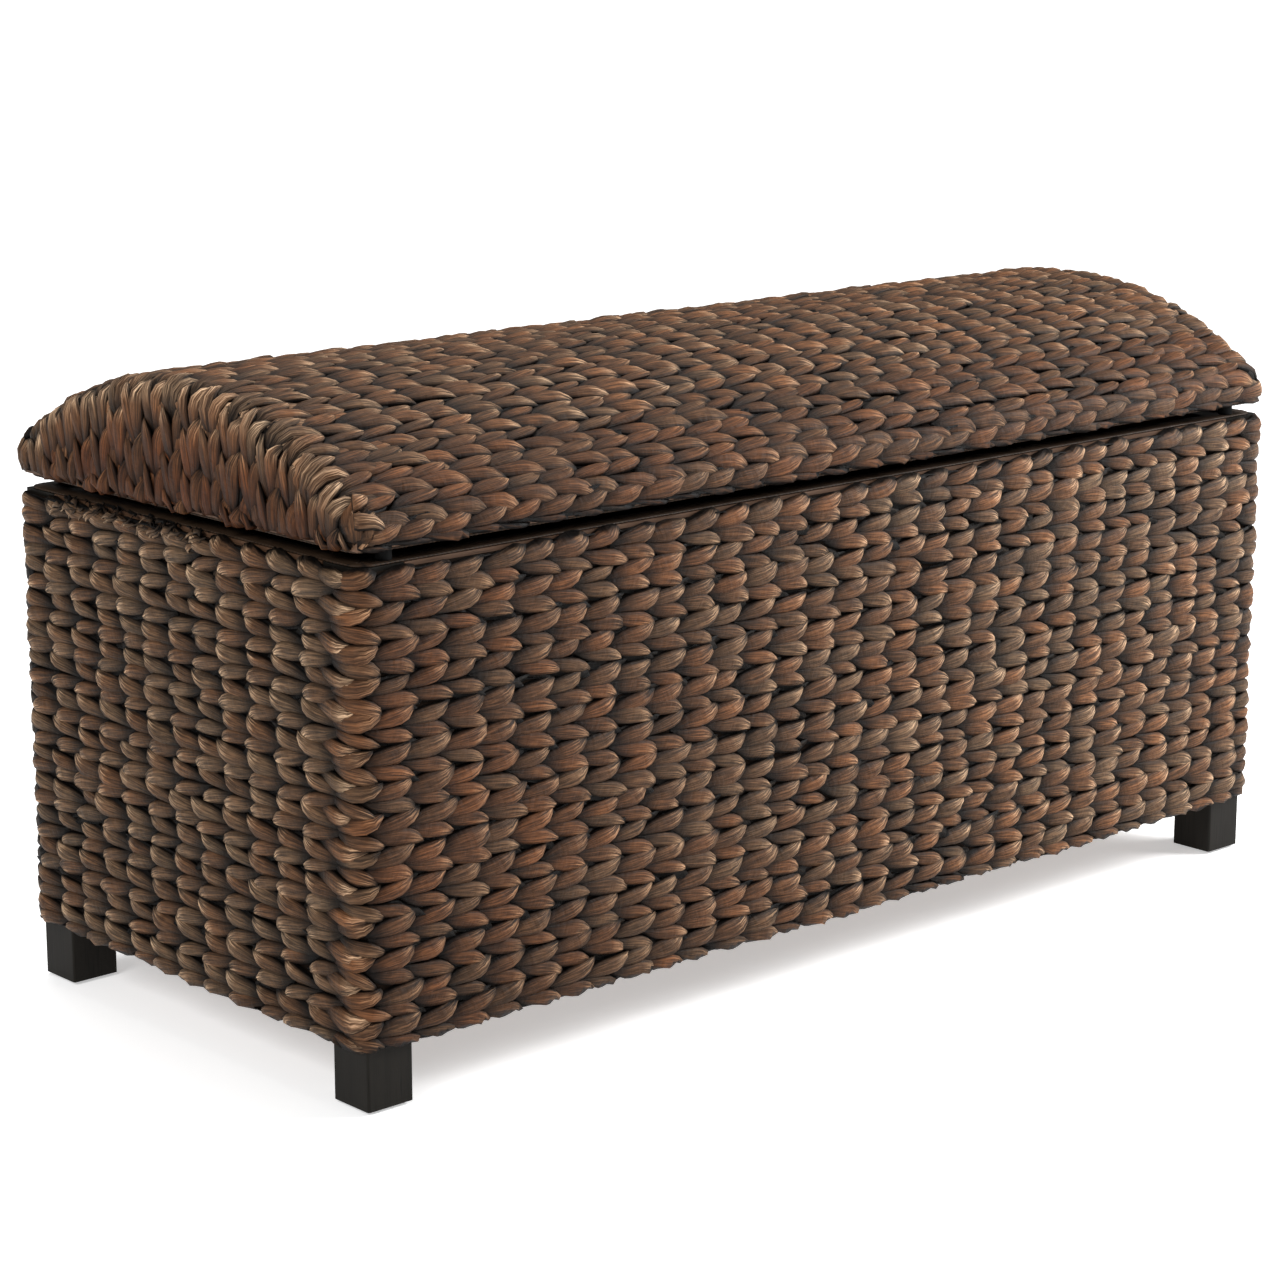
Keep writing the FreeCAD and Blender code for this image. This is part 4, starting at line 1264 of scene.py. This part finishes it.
class TRUNK_OT_wood(bpy.types.Operator):
    """Give the legs, rails, ribs, laths, slats, board and dowels their wood"""

    bl_idname = "trunk.wood"
    bl_label = "Wood"

    def execute(self, context):
        woods = context.scene.trunk_wood
        looks = {
            "black_stained_wood": ("black stained wood", tuple(woods.legs), 0.55, 0.46, 0.10),
            "frame_wood": ("brown stained wood", tuple(woods.frame_wood), 0.35, 0.50, 0.28),
            "plywood": ("stained board", tuple(woods.board), 0.30, 0.48, 0.28),
            "dowel_wood": ("raw dowel wood", tuple(woods.dowels), 0.22, 0.62, 0.28),
        }
        for row in frame["record"]["subparts"]:
            if row["material_slot"] in looks:
                name, *look = looks[row["material_slot"]]
                axis = grain_axis(row["node"])
                key = f"{name} {'xyz'[axis]}"
                dress(row["node"], shared(key, lambda: wood_finish(key, axis, *look)))
        return {"FINISHED"}


class TRUNK_OT_hardware(bpy.types.Operator):
    """Give the hinges, stays, screws, glides and bumpers their finishes"""

    bl_idname = "trunk.hardware"
    bl_label = "Hardware"

    def execute(self, context):
        finishes = {
            "hardware_steel": steel_finish(context.scene.trunk_hardware),
            "glide_nylon": moulded_finish("black nylon", 0.02, 700.0, 0.45),
            "bumper_rubber": moulded_finish("black rubber", 0.004, 1200.0, 0.75, 0.1),
        }
        for row in frame["record"]["subparts"]:
            if row["material_slot"] in finishes:
                dress(row["node"], finishes[row["material_slot"]])
        return {"FINISHED"}


def soft_light(name, place, sides, power):
    light = bpy.data.lights.new(name, "AREA")
    light.shape = "RECTANGLE"
    light.size, light.size_y = sides
    light.energy = power
    lamp = linked(name, light)
    lamp.location = place
    way = [t - p for t, p in zip(LIT_SPOT, place)]
    flat = math.hypot(way[0], way[1])
    lamp.rotation_euler = (math.atan2(flat, -way[2]), 0, math.atan2(way[1], way[0]) - math.pi / 2)


def paper_finish(settings):
    """Pale paper that glows a little less near the trunk, so that its soft shadow shows."""

    def build(board):
        place = board.place()
        shown = tuple(settings.floor)
        distance = board.add("ShaderNodeVectorMath", {0: place}, "Value", operation="LENGTH")
        glow = board.ramp((distance - 0.9) / 4.0, (0.0, 0.45), (1.0, 1.0))
        fixed = {"Specular IOR Level": 0.0, "Emission Color": glow, "Emission Strength": 1.0}
        return board.mix(board.noise(place, 3.0), tuple(c * 0.985 for c in shown), shown), 0.9, None, fixed

    return material("pale paper", build)


class TRUNK_OT_stage(bpy.types.Operator):
    """Lay the floor, hang the lights and set up the camera"""

    bl_idname = "trunk.stage"
    bl_label = "Stage"

    def execute(self, context):
        settings = context.scene.trunk_stage
        scene = context.scene
        mesh = bpy.data.meshes.new("floor")
        corners = [(x * FLOOR_HALF, y * FLOOR_HALF, 0) for x, y in ((-1, -1), (1, -1), (1, 1), (-1, 1))]
        mesh.from_pydata(corners, [], [(0, 1, 2, 3)])
        mesh.materials.append(paper_finish(settings))
        linked("floor", mesh)
        world = bpy.data.worlds.new("pale surround")
        world.use_nodes = True
        shade = world.node_tree.nodes["Background"]
        shade.inputs["Color"].default_value = (1.0, 1.0, 1.0, 1.0)
        shade.inputs["Strength"].default_value = settings.sky
        scene.world = world
        for name, (place, sides, share) in LIGHTS.items():
            soft_light(name, place, sides, settings.key * share)
        camera = bpy.data.cameras.new("camera")
        camera.lens = CAMERA_LENS
        camera.sensor_width = 36.0
        eye = linked("camera", camera)
        eye.location = CAMERA_PLACE
        eye.rotation_euler = [math.radians(a) for a in CAMERA_TURN]
        scene.camera = eye
        scene.view_settings.view_transform = "Standard"
        return {"FINISHED"}


STEPS = (
    TRUNK_OT_walls,
    TRUNK_OT_corner_leaves,
    TRUNK_OT_rim_fray,
    TRUNK_OT_wall_lining,
    TRUNK_OT_lid,
    TRUNK_OT_lid_lining,
    TRUNK_OT_rim_strips,
    TRUNK_OT_wood,
    TRUNK_OT_hardware,
    TRUNK_OT_stage,
)

GROUPS = {
    "trunk_braid": BraidSettings,
    "trunk_wood": WoodSettings,
    "trunk_hardware": HardwareSettings,
    "trunk_stage": StageSettings,
}


class TRUNK_PT_panel(bpy.types.Panel):
    """Lists the trunk's sizes, colours and making steps"""

    bl_idname = "TRUNK_PT_panel"
    bl_label = "Woven trunk"
    bl_space_type = "VIEW_3D"
    bl_region_type = "UI"
    bl_category = "Trunk"

    def draw(self, context):
        for group in GROUPS:
            settings = getattr(context.scene, group)
            box = self.layout.box()
            for name in settings.__annotations__:
                box.prop(settings, name)
        for step in STEPS:
            self.layout.operator(step.bl_idname)


def register():
    for name, group in GROUPS.items():
        bpy.utils.register_class(group)
        setattr(bpy.types.Scene, name, bpy.props.PointerProperty(type=group))
    for step in STEPS:
        bpy.utils.register_class(step)
    bpy.utils.register_class(TRUNK_PT_panel)


def unregister():
    bpy.utils.unregister_class(TRUNK_PT_panel)
    for step in reversed(STEPS):
        bpy.utils.unregister_class(step)
    for name, group in GROUPS.items():
        delattr(bpy.types.Scene, name)
        bpy.utils.unregister_class(group)


def main():
    register()
    for step in STEPS:
        family, name = step.bl_idname.split(".")
        getattr(getattr(bpy.ops, family), name)()


if __name__ == "__main__":
    main()
